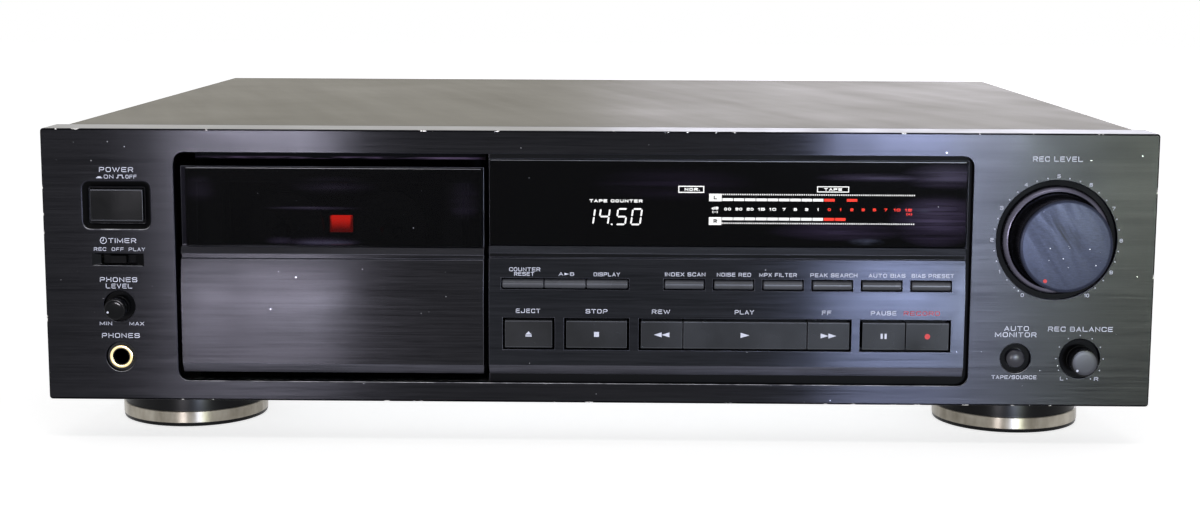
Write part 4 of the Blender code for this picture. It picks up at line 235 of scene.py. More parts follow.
def plastic(name, dark, light, roughness, ior=1.45, metallic=0.0):
    """Moulded plastic with a fine spark-eroded grain and a little dust."""
    look = Look(name, dark, roughness, metallic, ior)
    cloud = look.noise(45, 3.0)
    look.colour(look.dusted(look.shades(cloud, 0.3, 0.7, dark, light), 110, 0.02, 0.06))
    look.rough(cloud, 0.3, 0.7, roughness - 0.05, roughness + 0.06)
    look.bump(look.noise(3200, 2.0, 0.6), 0.12, 20)
    return look


def sheet_metal(name, dark, light, roughness, metallic=1.0):
    """Zinc-coated or plain sheet with a faint crystal pattern and rolling marks."""
    look = Look(name, dark, roughness, metallic)
    rolled = look.noise((12, 900, 900), 3.0)
    mixed = look.weighted(look.cells(170)[1], rolled, 0.5)
    look.colour(look.shades(mixed, 0.2, 0.8, dark, light))
    look.rough(mixed, 0.2, 0.8, roughness - 0.06, roughness + 0.08)
    look.bump(rolled, 0.08, 20)
    return look


def turned_metal(name, dark, light, roughness):
    """Metal turned on a lathe: fine rings and slight clouding."""
    look = Look(name, dark, roughness, 1.0)
    lines = look.noise((90, 90, 5200))
    look.colour(look.shades(look.noise(60, 3.0), 0.3, 0.7, dark, light))
    look.rough(lines, 0.3, 0.7, roughness - 0.05, roughness + 0.07)
    look.bump(lines, 0.06, 10)
    return look


def ink(name, colour, faded):
    look = Look(name, colour, 0.55)
    wear = look.noise(900, 3.0, 0.7)
    look.colour(look.shades(wear, 0.35, 0.75, colour, faded))
    look.rough(wear, 0.3, 0.7, 0.45, 0.62)
    return look


def glowing(name, colour, strength):
    look = Look(name, colour, 0.5, Emission_Strength=strength)
    look.material.cycles.emission_sampling = "NONE"
    return look


def phosphor(name, colour, dim):
    """Glowing sign whose brightness varies finely over its surface."""
    look = glowing(name, [c * 0.5 for c in colour], 28.0)
    glow = look.shades(look.noise(1500), 0.3, 0.7, [c * dim for c in colour], colour)
    look.join(glow, look.sockets["Emission Color"])
    return look


def mechanism_black():
    """Black plate with painted glints: a lighter band along the upper edge of the door's opening."""
    look = Look("mechanism_black", (0.005, 0.005, 0.006), 0.6, 0.0, 1.05)
    painted_glint_height = 113.2 * MM
    base = look.blend(look.noise(45, 3.0), (0.004, 0.004, 0.0046), (0.007, 0.007, 0.0078))
    # Painted highlight: a purple band at one height, broken by noise.
    away = look.distance(look.axis_value("Z"), painted_glint_height)
    band = look.remap(away, 0.15 * MM, 0.6 * MM, 1.0, 0.0)
    painted_glint = look.times(band, look.remap(look.noise((42, 42, 900), 3.0, 0.7), 0.42, 0.62))
    look.colour(look.blend(painted_glint, base, (0.15, 0.1, 0.17)))
    return look


def cassette_light():
    """Red lit plate, brightest along its top."""
    look = glowing("lamp_red", (0.5, 0.01, 0.005), 4.4)
    low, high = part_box("cassette_lamp")
    height = look.remap(look.axis_value("Z"), low.z + 0.5 * MM, high.z - 1.0 * MM, -0.25, 0.95)
    middle_x = (low.x + high.x) / 2
    half = high.x - middle_x
    off_centre = look.distance(look.axis_value("X"), middle_x)
    side_fade = look.remap(off_centre, half - 0.9 * MM, half - 0.1 * MM, 0.0, 0.9)
    grain = look.times(look.noise((300, 300, 500)), 0.2)
    shade = look.math("SUBTRACT", look.math("ADD", height, grain), side_fade)
    glow = look.shades(shade, 0.0, 1.0, (0.12, 0.002, 0.001), (0.86, 0.016, 0.007))
    look.join(glow, look.sockets["Emission Color"])
    return look


def smoked(name, colour, alpha, ior, haze):
    """Smoked acrylic: dark, see-through, with a faint film, smears and dust; the film and smears also
    take a painted reflection, purple in the haze colour and pale in the streaks.
    """
    look = Look(name, colour, 0.06, 0.0, ior)
    dust = look.specks(260, 0.055, 0.25)
    wiped = look.remap(look.noise((14, 60, 520), 3.0, 0.6), 0.32, 0.62, 0.15)
    film_and_reflection = look.times(wiped, smeared(look, SMEARS_AND_REFLECTIONS))
    streaks = look.remap(look.noise((60, 60, 330), 3.0, 0.7), 0.38, 0.6)
    pale_smear_and_reflection = look.times(streaks, smeared(look, PALE_SMEARS_AND_REFLECTIONS))
    # Painted reflection: the film turns towards the purple haze colour, and the pale streaks towards a
    # pale blue grey.
    base = look.blend(pale_smear_and_reflection, look.blend(film_and_reflection, colour, haze), (0.05, 0.053, 0.078))
    look.colour(look.blend(dust, base, SPECK))
    look.join(look.remap(dust, 0.0, 1.0, alpha), look.sockets["Alpha"])
    look.rough(film_and_reflection, 0.0, 0.8, 0.06, 0.2)
    return look


def board(name, base, other, track, ior=1.45):
    """Laminate with copper tracks that show through the lacquer."""
    look = Look(name, base, 0.4, 0.0, ior)
    colours = (("Color1", base), ("Color2", other), ("Mortar", track))
    values = [("Mortar Size", 0.06)] + [(key, (*colour, 1.0)) for key, colour in colours]
    tracks = look.texture("ShaderNodeTexBrick", look.space(160), values, offset=0.37, squash=0.6)
    look.colour(tracks.outputs["Color"])
    look.rough(look.noise(300), 0.3, 0.7, 0.32, 0.5)
    return look


def rubber():
    look = Look("rubber", (0.018, 0.018, 0.018), 0.8)
    cloud = look.noise(400, 4.0, 0.7)
    look.colour(look.shades(cloud, 0.3, 0.7, (0.012, 0.012, 0.012), (0.03, 0.03, 0.03)))
    look.rough(cloud, 0.3, 0.7, 0.7, 0.9)
    look.bump(cloud, 0.2, 30)
    return look


def cover_paint():
    """Satin enamel on the folded cover, with fine pebbling, haze and wipe marks."""
    # The olive specular tint is a painted reflection of olive surroundings in the grazing gloss; the
    # olive sheen stands for dust and tints that gloss too.
    look = Look(
        "cover_enamel", (0.05, 0.048, 0.042), 0.42, 0.55, Sheen_Weight=0.12, Sheen_Roughness=0.4,
        Specular_Tint=(0.96, 0.9, 0.76, 1.0), Sheen_Tint=(0.6, 0.54, 0.4, 1.0),
    )
    haze = look.noise(7, 4.0, 0.65)
    wipe = look.noise((60, 5, 5), 3.0, 0.6, turn=(0, 0, 0.3))
    mixed = look.weighted(haze, wipe, 0.6)
    base = look.shades(mixed, 0.35, 0.65, (0.038, 0.037, 0.033), (0.057, 0.056, 0.051))
    look.colour(look.dusted(base, 60, 0.016, 0.1))
    look.rough(mixed, 0.35, 0.65, 0.38, 0.48)
    look.bump(look.noise(2600, 2.0, 0.6), 0.16, 30)
    return look


def panel_edge():
    """Rounded edges of the front panel: near black outside as painted shade, with bare chips; round the
    openings lighter where they face up, wear with a painted highlight.
    """
    look = Look("panel_edge", (0.02, 0.02, 0.024), 0.34, 1.0)
    margin = 1.2 * MM
    across = look.math("ABSOLUTE", look.axis_value("X"))
    height = look.axis_value("Z")
    side = look.math("GREATER_THAN", across, PANEL_HIGH.x - margin)
    top = look.math("GREATER_THAN", height, PANEL_HIGH.z - margin)
    bottom = look.math("LESS_THAN", height, PANEL_LOW.z + margin)
    outside = look.highest(side, top, bottom)
    wear = look.noise(160, 3.0, 0.6)
    fine = look.noise((700, 1500, 1500), 2.0, 0.6)
    facing = look.add("ShaderNodeSeparateXYZ")
    look.join(look.add("ShaderNodeNewGeometry").outputs["Normal"], facing.inputs["Vector"])
    # Edges that face up get the lighter colour: wear, with a painted highlight.
    wear_and_painted_highlight = look.shades(wear, 0.35, 0.68, (0.12, 0.12, 0.135), (0.55, 0.55, 0.58))
    rubbed = look.shades(facing.outputs["Z"], 0.15, 0.6, (0.014, 0.014, 0.018), wear_and_painted_highlight)
    # Outside edges are near black: painted shade.
    edge = look.blend(outside, rubbed, (0.0045, 0.0045, 0.0055))
    chips = look.math("GREATER_THAN", look.times(look.remap(wear, 0.52, 0.66), fine), 0.47)
    look.colour(look.blend(look.times(chips, outside), edge, (0.7, 0.68, 0.66)))
    look.rough(fine, 0.3, 0.7, 0.28, 0.42)
    return look


# Smears on the windows, which also carry a painted reflection, in millimetres: centre x and height,
# half width and half height, strength
SMEARS_AND_REFLECTIONS = (
    (-109.0, 82.2, 16.0, 2.0, 1.0), (-126.0, 82.6, 7.0, 1.6, 0.6), (-113.0, 95.6, 21.0, 0.8, 0.6),
    (-105.0, 104.5, 18.0, 4.0, 0.25), (-53.0, 99.0, 7.0, 9.0, 0.3), (-158.0, 103.0, 7.0, 6.0, 0.25),
    (134.0, 92.0, 20.0, 11.0, 0.9), (138.0, 109.5, 20.0, 5.5, 0.6), (96.0, 87.5, 30.0, 4.0, 0.55),
    (110.0, 109.0, 26.0, 1.8, 0.7), (30.0, 106.0, 34.0, 7.0, 0.16),
)
# Pale streaks: smears with a pale painted reflection, in the same columns.
PALE_SMEARS_AND_REFLECTIONS = (
    (106.0, 83.4, 8.0, 1.6, 1.0), (-108.0, 81.8, 12.0, 1.0, 0.8), (129.0, 96.0, 3.0, 1.0, 0.3),
)


def smeared(look, spots):
    """Mask that is strongest at the middle of each spot."""
    x, height = look.axis_value("X"), look.axis_value("Z")
    total = 0.0
    for centre_x, centre_up, wide, tall, strength in spots:
        across = look.times(look.math("SUBTRACT", x, centre_x * MM), 1.0 / (wide * MM))
        up = look.times(look.math("SUBTRACT", height, centre_up * MM), 1.0 / (tall * MM))
        squares = [look.math("POWER", part, 2.0) for part in (across, up)]
        away = look.math("SQRT", look.math("ADD", *squares))
        total = look.highest(total, look.remap(away, 0.1, 1.0, strength, 0.0))
    return total


def foot_ring():
    """Ring of satin metal brushed round its rim, so that lamps show as upright bands."""
    look = Look(
        "foot_ring_metal", (0.36, 0.33, 0.28), 0.3, 1.0, Anisotropic=0.9, Anisotropic_Rotation=0.25,
    )
    cloud = look.noise((120, 120, 60), 3.0, 0.6)
    look.colour(look.shades(cloud, 0.3, 0.7, (0.21, 0.188, 0.15), (0.42, 0.39, 0.335)))
    look.rough(look.noise((70, 70, 5200)), 0.3, 0.7, 0.31, 0.4)
    look.brush_along("Z")
    return look


def knob_aluminium():
    """Satin aluminium end of the big knob, with finger marks and dust."""
    dark, light = (0.0082, 0.0102, 0.0222), (0.0155, 0.0192, 0.0395)
    look = Look("knob_face_aluminium", dark, 0.36, 0.4, 1.33, Anisotropic=0.2)
    fine = look.noise((700, 3000, 3000), 2.0, 0.6)
    finger = look.noise((45, 45, 330), 3.0, 0.5, turn=(0, 1.0, 0), distortion=0.5)
    low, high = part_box("record_level_knob")
    smudge = ((low.x + high.x) / 2 / MM, (low.z + high.z) / 2 / MM + 4.0, 9.0, 11.0, 1.3)
    rubbed = look.times(look.remap(finger, 0.5, 0.66, 0.0, 0.85), smeared(look, [smudge]))
    base = look.shades(fine, 0.3, 0.7, dark, light)
    look.colour(look.dusted(look.blend(rubbed, base, (0.004, 0.005, 0.009)), 400, 0.1, 0.5))
    look.rough(finger, 0.35, 0.65, 0.32, 0.4)
    look.bump(fine, 0.12, 20)
    look.brush_along("X")
    return look


LOOKS = {
    # Painted shade along the panel's top and bottom edges.
    "front": brushed(
        "front_brushed", (0.0102, 0.0104, 0.0124), (0.02, 0.0202, 0.0235), 0.19,
        (PANEL_LOW.z + 0.75 * MM, PANEL_HIGH.z - 0.65 * MM),
    ),
    # Painted shade on the door above the window's bottom.
    "door": brushed(
        "door_brushed", (0.011, 0.011, 0.013), (0.024, 0.024, 0.028), 0.215,
        (0.0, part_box("door_window")[0].z + 0.3 * MM),
    ),
    "control": brushed("control_brushed", (0.011, 0.0118, 0.0144), (0.024, 0.0252, 0.0306), 0.2),
    # Chamfers facing down: a lighter copy of the brushed finish, a painted reflection.
    "lower_chamfer_painted_sheen": brushed("brushed_chamfer_painted_sheen", (0.05, 0.05, 0.062), (0.1, 0.1, 0.122), 0.3),
    "cover": cover_paint(),
    "panel_edge": panel_edge(),
    "ring": foot_ring(),
    "knob_face": knob_aluminium(),
    "mech_black": mechanism_black(),
    "lamp": cassette_light(),
    "rubber": rubber(),
    "zinc": sheet_metal("zinc_sheet", (0.42, 0.43, 0.44), (0.58, 0.59, 0.6), 0.36),
    "dark_sheet": sheet_metal("dark_sheet", (0.03, 0.03, 0.032), (0.048, 0.048, 0.05), 0.42, 0.3),
    # Rounded edges of the door and control panels: a lighter metal than their faces.
    "edge": turned_metal("lighter_edge_metal", (0.04, 0.04, 0.05), (0.085, 0.085, 0.1), 0.34),
    "steel": turned_metal("bright_steel", (0.55, 0.55, 0.55), (0.72, 0.71, 0.69), 0.22),
    "gilt": turned_metal("gilt", (0.8, 0.6, 0.27), (0.95, 0.76, 0.42), 0.24),
    "rim": turned_metal("knob_rim", (0.07, 0.067, 0.092), (0.12, 0.114, 0.155), 0.28),
    "dark_screw": turned_metal("dark_screw", (0.05, 0.05, 0.055), (0.09, 0.09, 0.095), 0.35),
    "board": board("circuit_board", (0.015, 0.075, 0.035), (0.02, 0.095, 0.04), (0.05, 0.2, 0.07)),
    "dark_board": board(
        "dark_board", (0.009, 0.01, 0.009), (0.011, 0.012, 0.011), (0.016, 0.016, 0.012), 1.05,
    ),
    # The last colour of each smoked look is its painted reflection.
    "window": smoked("smoked_acrylic", (0.0018, 0.0018, 0.0021), 0.95, 1.1, (0.05, 0.033, 0.072)),
    "door_glass": smoked("smoked_door", (0.0018, 0.0018, 0.0021), 0.88, 1.1, (0.04, 0.03, 0.056)),
    "window_back": smoked("smoked_back", (0.0016, 0.0016, 0.0019), 0.06, 1.03, (0.003, 0.003, 0.0036)),
    "glow_white": phosphor("glow_white", (1.0, 1.0, 1.0), 0.85),
    "glow_red": phosphor("glow_red", (1.0, 0.06, 0.04), 0.8),
    "ink": ink("legend_ink", (0.68, 0.68, 0.77), (0.56, 0.56, 0.64)),
    "ink_light": ink("symbol_ink", (0.62, 0.62, 0.7), (0.5, 0.5, 0.57)),
    "ink_red": ink("red_ink", (0.62, 0.03, 0.03), (0.45, 0.02, 0.02)),
    "ink_dark": ink("dark_ink", (0.01, 0.01, 0.01), (0.02, 0.02, 0.02)),
}
# Plastics: material, dark and light colour, roughness, and where they differ index and metallic
PLASTICS = {
    # Walls of the openings and key slots, and the timer slider: near black, a painted shade.
    "painted_recess_shade": ("recess_black_painted_shade", (0.001, 0.001, 0.0012), (0.002, 0.002, 0.0023), 0.42, 1.12),
    "key": ("key_satin", (0.0028, 0.003, 0.0038), (0.0044, 0.0047, 0.006), 0.25, 1.28),
    # Rounded edges of the keys and the power button: lighter than the key faces, a painted highlight.
    "key_edge_painted_highlight": ("key_edge_painted_highlight", (0.03, 0.031, 0.037), (0.05, 0.052, 0.06), 0.3, 1.45, 0.4),
    "small_key": ("small_key_satin", (0.036, 0.037, 0.043), (0.052, 0.053, 0.062), 0.28, 1.42),
    "power": ("power_satin", (0.0012, 0.0014, 0.0019), (0.0022, 0.0025, 0.0034), 0.13, 1.2),
    "knob": ("knob_satin", (0.0016, 0.0016, 0.0021), (0.0031, 0.0031, 0.0039), 0.22, 1.22),
    "knob_end": ("knob_end_satin", (0.015, 0.015, 0.021), (0.026, 0.026, 0.035), 0.34, 1.42),
    "black": ("black_moulding", (0.003, 0.003, 0.0035), (0.006, 0.006, 0.0068), 0.44, 1.28),
    "inner_black": ("inner_black", (0.004, 0.004, 0.0046), (0.007, 0.007, 0.0078), 0.6, 1.05),
    "foot": ("foot_black", (0.0015, 0.0015, 0.0018), (0.0032, 0.0032, 0.0038), 0.32, 1.22),
    "tube": ("tube_glass", (0.009, 0.0095, 0.0095), (0.013, 0.014, 0.014), 0.6, 1.05),
    "window_side": ("window_side", (0.0008, 0.0008, 0.001), (0.0014, 0.0014, 0.0018), 0.4, 1.1),
    # Strip under each window's top edge: a painted highlight.
    "window_lip_painted_highlight": ("window_lip_painted_highlight", (0.02, 0.02, 0.024), (0.075, 0.075, 0.085), 0.3),
    # Top face of the front panel: light, a painted sheen like a grazing reflection.
    "lip": ("panel_top_painted_sheen", (0.19, 0.182, 0.172), (0.28, 0.268, 0.255), 0.34, 1.6, 0.7),
    "collar_white": ("collar_white", (0.62, 0.6, 0.55), (0.72, 0.7, 0.65), 0.4),
    "collar_red": ("collar_red", (0.36, 0.012, 0.012), (0.46, 0.02, 0.018), 0.4),
}
LOOKS.update({key: plastic(*values) for key, values in PLASTICS.items()})


# Pieces
def placed(name, data):
    made = bpy.data.objects.new(name, data)
    bpy.context.scene.collection.objects.link(made)
    return made


def piece(name, shape, looks, body="cabinet", smooth=35, replaces=()):
    """Object from a bmesh, riding on a body."""
    mesh = bpy.data.meshes.new(name)
    shape.normal_update()
    shape.to_mesh(mesh)
    shape.free()
    for look in looks:
        mesh.materials.append(LOOKS[look].material)
    mesh.shade_smooth()
    mesh.set_sharp_from_angle(angle=math.radians(smooth))
    made = placed(name, mesh)
    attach(made, body)
    if replaces:
        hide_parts(*replaces)
    return made


MERGE_DISTANCE = 0.02 * MM
FLAT_ANGLE = math.radians(0.5)
SOFTENED_SMOOTH, TURNED_SMOOTH, SCREW_SMOOTH = 14, 30, 40


def softened(node, looks, width, segments=2, angle=40, pick=None, share=None):
    """Fine copy of a node whose sharp edges are rounded, so that they catch the light.

    The second look is for the rounded edges; pick() gives each face its look's index, and
    share() each sharp edge its part of the width, by its middle.
    """
    shape = bmesh.new()
    shape.from_mesh(NODES[node].data)
    bmesh.ops.remove_doubles(shape, verts=shape.verts, dist=MERGE_DISTANCE)
    bmesh.ops.dissolve_limit(shape, angle_limit=FLAT_ANGLE, verts=shape.verts, edges=shape.edges)
    shape.verts.index_update()
    clean = bmesh.new()
    corners = [clean.verts.new(v.co) for v in shape.verts]
    for face in shape.faces:
        copy = clean.faces.new([corners[v.index] for v in face.verts])
        if pick:
            copy.material_index = pick(face.calc_center_median(), face.normal)
    shape.free()
    if share:
        clean.normal_update()
        part = clean.edges.layers.float.new("bevel_weight_edge")
        for edge in clean.edges:
            if edge.calc_face_angle(0.0) > math.radians(angle):
                edge[part] = share((edge.verts[0].co + edge.verts[1].co) / 2)
    made = piece(f"{node}_fine", clean, looks, body_with(node), SOFTENED_SMOOTH, (node,))
    round_off = made.modifiers.new("rounded_edges", "BEVEL")
    round_off.width = width * MM
    round_off.segments = segments
    round_off.limit_method = "WEIGHT" if share else "ANGLE"
    round_off.angle_limit = math.radians(angle)
    round_off.harden_normals = True
    round_off.use_clamp_overlap = not share
    if len(looks) > 1:
        round_off.material = 1


def disc(x, up, radius, steps=12):
    return [
        (x + radius * math.cos(math.tau * i / steps), up + radius * math.sin(math.tau * i / steps))
        for i in range(steps)
    ]


def oblong(left, right, low, high):
    return [(left, low), (right, low), (right, high), (left, high)]


def lathe(name, profile, centre, to_space, look, body, steps, replaces=()):
    """Turned piece from (radius, along) points; a radius of 0 closes it in a point."""
    shape = bmesh.new()
    rings = []
    for radius, along in profile:
        points = disc(*centre, radius, steps) if radius else [centre]
        rings.append([shape.verts.new(to_space(*point, along)) for point in points])
    for one, other in zip(rings, rings[1:]):
        for i in range(steps):
            if len(one) == 1:
                corners = [one[0], other[i], other[i - 1]]
            elif len(other) == 1:
                corners = [one[i - 1], one[i], other[0]]
            else:
                corners = [one[i - 1], one[i], other[i], other[i - 1]]
            shape.faces.new(corners)
    for ring in (rings[0], rings[-1]):
        if len(ring) > 1:
            shape.faces.new(ring)
    bmesh.ops.recalc_face_normals(shape, faces=shape.faces)
    piece(name, shape, [look], body, TURNED_SMOOTH, replaces)


def from_floor(x, y, along):
    """Place of a turned piece's point over the floor, all in millimetres from the origin."""
    return Vector((x * MM, y * MM, along * MM))


def from_back(x, height, along):
    """The same for a piece whose axis runs back."""
    return Vector((x * MM, along * MM, height * MM))


def flat(_):
    return 0.0


def slab(shape, outline, front, thickness, surface=flat):
    """Thin plate from an outline of (x, up) points, standing on a surface."""
    back = [shape.verts.new(place(x, up, surface(up) + front + thickness)) for x, up in outline]
    face = [shape.verts.new(place(x, up, surface(up) + front)) for x, up in outline]
    shape.faces.new(face)
    shape.faces.new(back[::-1])
    for i in range(len(outline)):
        shape.faces.new((face[i], face[i - 1], back[i - 1], back[i]))


INK_THICKNESS = 0.05


def mark(shape, outline, surface=flat):
    """Thin printed shape on the front."""
    slab(shape, outline, -INK_THICKNESS, INK_THICKNESS, surface)


# Wide letters as centre lines in hundredths of a unit square; their corners are sharp (s),
# round (r), or round with the first line closed (c)
STROKE_CODES = {
    "A": "s|0,0 50,100 100,0|20,30 80,30",
    "B": "r|0,0 0,100|0,100 94,100 94,54 0,54|50,54 100,54 100,0 0,0",
    "C": "r|100,76 100,100 0,100 0,0 100,0 100,24", "D": "r|0,0 0,100|0,100 100,100 100,0 0,0",
    "E": "s|0,0 0,100|0,100 100,100|0,52 90,52|0,0 100,0", "F": "s|0,0 0,100|0,100 100,100|0,50 88,50",
    "G": "r|100,76 100,100 0,100 0,0 100,0 100,48 52,48", "H": "s|0,0 0,100|100,0 100,100|0,52 100,52",
    "I": "s|50,0 50,100", "J": "r|100,100 100,0 0,0 0,30", "K": "s|0,0 0,100|98,100 6,50|30,60 100,0",
    "L": "s|0,100 0,0|0,0 100,0", "M": "s|0,0 0,100 50,15 100,100 100,0",
    "N": "s|0,0 0,100 100,0 100,100", "O": "c|0,0 0,100 100,100 100,0",
    "P": "r|0,0 0,100|0,100 100,100 100,42 0,42",
    "R": "r|0,0 0,100|0,100 100,100 100,45 0,45|60,42 100,0",
    "S": "r|97,78 97,100 0,100 0,52 100,52 100,0 0,0 0,22", "T": "s|0,100 100,100|50,0 50,100",
    "U": "r|0,100 0,0 100,0 100,100", "V": "s|0,100 50,0 100,100",
    "W": "s|0,100 26,0 50,90 74,0 100,100", "X": "s|0,0 100,100|0,100 100,0",
    "Y": "s|0,100 50,45 100,100|50,0 50,45", "0": "c|0,0 0,100 100,100 100,0",
    "1": "s|0,80 100,100 100,0", "2": "r|0,80 0,100 100,100 100,52 0,52 0,0|0,0 100,0",
    "3": "r|0,80 0,100 96,100 96,53 30,53|60,53 100,53 100,0 0,0 0,20",
    "4": "s|78,0 78,100 0,28 100,28", "5": "r|95,100 0,100|0,100 0,58|0,58 100,58 100,0 0,0 0,20",
    "6": "r|96,80 96,100 0,100 0,0 100,0 100,56 0,56", "7": "s|0,100 100,100 35,0",
    "8": "c|0,0 0,100 100,100 100,0|0,53 100,53", "9": "r|100,44 0,44 0,100 100,100 100,0 4,0 4,20",
    "d": "r|100,100 100,0|100,62 0,62 0,0 100,0", "/": "s|0,0 100,100", "-": "s|0,50 100,50",
    "+": "s|0,50 100,50|50,15 50,85", "(": "s|100,100 0,75 0,25 100,0",
    ")": "s|0,100 100,75 100,25 0,0", ".": "s|50,0 50,5", " ": "s",
}
STROKES = {
    sign: [
        [[int(n) / 100 for n in point.split(",")] for point in line.split()] if "," in line else line
        for line in code.split("|")
    ]
    for sign, code in STROKE_CODES.items()
}
WIDTHS = {
    "I": 0.0, "1": 0.28, "M": 1.25, "W": 1.5, " ": 0.25, "/": 0.55, "-": 0.6, "(": 0.22, ")": 0.22,
    ".": 0.05, "+": 0.6,
}
LETTER_WIDTH, LETTER_GAP, CORNER = 1.0, 0.34, 0.3
WEIGHT = 0.145
LEAST_STROKE = 0.2
CORNER_STEPS = 4
SHARPEST = 0.9
INK_FRONT = -0.04


def rounded(points, closed, radius):
    """Replaces each corner of a line by a short curve."""
    out = []
    count = len(points)
    for i, point in enumerate(points):
        if not closed and i in (0, count - 1):
            out.append(point)
            continue
        before, after = points[i - 1], points[(i + 1) % count]
        reach = min(radius, (before - point).length / 2, (after - point).length / 2)
        start = point + (before - point).normalized() * reach
        end = point + (after - point).normalized() * reach
        for step in range(CORNER_STEPS + 1):
            t = step / CORNER_STEPS
            out.append(start * (1 - t) ** 2 + point * 2 * t * (1 - t) + end * t ** 2)
    return out


def ribbon(shape, points, closed, half, to_face):
    """Flat band of even width along a line."""
    count = len(points)
    rows = []
    for i, point in enumerate(points):
        before = point - points[i - 1] if closed or i else points[1] - points[0]
        after = points[(i + 1) % count] - point if closed or i < count - 1 else before
        one, other = before.normalized(), after.normalized()
        across = Vector((-one.y - other.y, one.x + other.x))
        offset = across * (2 * half / max(SHARPEST, across.length_squared))
        end = Vector((0, 0))
        if not closed and i == 0:
            end = -one * half
        elif not closed and i == count - 1:
            end = other * half
        rows.append([shape.verts.new(to_face(point + end + side)) for side in (offset, -offset)])
    for i in range(count if closed else count - 1):
        a, b = rows[i], rows[(i + 1) % count]
        shape.faces.new((a[0], a[1], b[1], b[0]))


def lettering(shape, words, left, right, low, high, front=INK_FRONT, surface=flat, weight=WEIGHT):
    """Adds words, stretched to the given width and height, to a bmesh."""
    tall = high - low
    half = max(weight * tall, LEAST_STROKE) / 2
    spans = [WIDTHS.get(sign, LETTER_WIDTH) for sign in words]
    inner = right - left - 2 * half * len(words)
    unit = inner / (sum(spans) + LETTER_GAP * (len(words) - 1))
    at = left

    def to_face(point):
        return place(point.x, point.y, surface(point.y) + front)

    for sign, span in zip(words, spans):
        kind, *lines = STROKES[sign]
        for index, line in enumerate(lines):
            points = [
                Vector((at + half + u * span * unit, low + half + v * (tall - 2 * half)))
                for u, v in line
            ]
            closed = kind == "c" and index == 0
            if kind != "s":
                points = rounded(points, closed, CORNER * tall)
            ribbon(shape, points, closed, half, to_face)
        at += 2 * half + (span + LETTER_GAP) * unit


# Front panel, door and control module. A look's index: face, rounded edge, wall (painted shade),
# special face (painted sheen)
FRONT_EDGE = 0.55
RECESS_DEPTH = 0.4 * MM
SLOT_DEPTH = 2.5 * MM
FACE_DEPTH = 0.1 * MM
LIP_HEIGHT = 0.5 * MM
OUTLINE_MARGIN = 1.5 * MM
FACE, WALL, SPECIAL = 0, 2, 3


def within_outline(point):
    low, high = PANEL_LOW.z + OUTLINE_MARGIN, PANEL_HIGH.z - OUTLINE_MARGIN
    return abs(point.x) < PANEL_HIGH.x - OUTLINE_MARGIN and low < point.z < high


def in_front_recess(point, normal):
    """Walls and floors of the openings, which take the painted shade, and the lip along the panel's
    top, which takes a painted sheen.
    """
    if normal.z > 0.9 and point.z > PANEL_HIGH.z - LIP_HEIGHT:
        return SPECIAL
    return WALL if within_outline(point) and point.y > FRONT + RECESS_DEPTH else FACE


def panel_rounding(point):
    """Rounded most along the outline, and only a little inside the openings."""
    if not within_outline(point):
        return 1.0
    return 0.5 if point.y < FRONT + FACE_DEPTH else 0.1


def faces_down(normal):
    return normal.z < -0.15 and normal.y < -0.15


def in_key_slot(point, normal):
    if faces_down(normal):
        return SPECIAL
    return WALL if point.y > FRONT + SLOT_DEPTH else FACE


def door_rail(_, normal):
    if faces_down(normal):
        return SPECIAL
    return WALL if abs(normal.x) > 0.5 else FACE


def window_face(_, normal):
    """Front, dark sides, clear back."""
    if abs(normal.y) < 0.5:
        return WALL
    return SPECIAL if normal.y > 0 else FACE


softened(
    "front_panel", ["front", "panel_edge", "painted_recess_shade", "lip"], FRONT_EDGE,
    angle=25, pick=in_front_recess, share=panel_rounding,
)
for module, pick in (("control", in_key_slot), ("door", door_rail)):
    softened(
        f"{module}_panel", [module, "edge", "painted_recess_shade", "lower_chamfer_painted_sheen"], 0.22,
        angle=50, pick=pick,
    )
LIP_INSET, LIP_LOW, LIP_HIGH, LIP_PROUD, LIP_THICKNESS = 0.5, 0.3, 0.04, 0.02, 0.3
for window, glass in (("door_window", "door_glass"), ("display_window", "window")):
    softened(
        window, [glass, "window_side", "window_side", "window_back"], 0.12,
        pick=window_face,
    )
    # A thin lighter strip just under each window's top edge: a painted highlight.
    low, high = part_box(window)
    lip = bmesh.new()
    top = (high.z - BASE) / MM
    outline = oblong(low.x / MM + LIP_INSET, high.x / MM - LIP_INSET, top - LIP_LOW, top - LIP_HIGH)
    slab(lip, outline, (low.y - FRONT) / MM - LIP_PROUD, LIP_THICKNESS)
    piece(f"{window}_lip", lip, ["window_lip_painted_highlight"], body_with(window))
softened("top_cover", ["cover"], 0.15)
softened("power_button", ["power", "key_edge_painted_highlight"], 0.25)
softened("timer_slider", ["painted_recess_shade"], 0.15)
for key in ("eject", "stop", "rewind", "play", "fast_forward", "pause", "record"):
    softened(f"{key}_button", ["key", "key_edge_painted_highlight"], 0.16)
for key in (
    "counter_reset", "counter_memory", "counter_display", "index_scan", "noise_reduction",
    "filter", "peak_search", "auto_bias", "bias_preset",
):
    softened(f"{key}_button", ["small_key"], 0.55, 4)
for node in ("cassette_holder", "mains_inlet", "phono_jacks"):
    softened(node, ["black"], 0.15)
softened("chassis_pan", ["zinc"], 0.12)
softened("rear_panel", ["dark_sheet"], 0.12)


# Knobs and round buttons, turned finely
def middle(node):
    low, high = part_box(node)
    return (low.x + high.x) / 2 / MM, ((low.z + high.z) / 2 - BASE) / MM


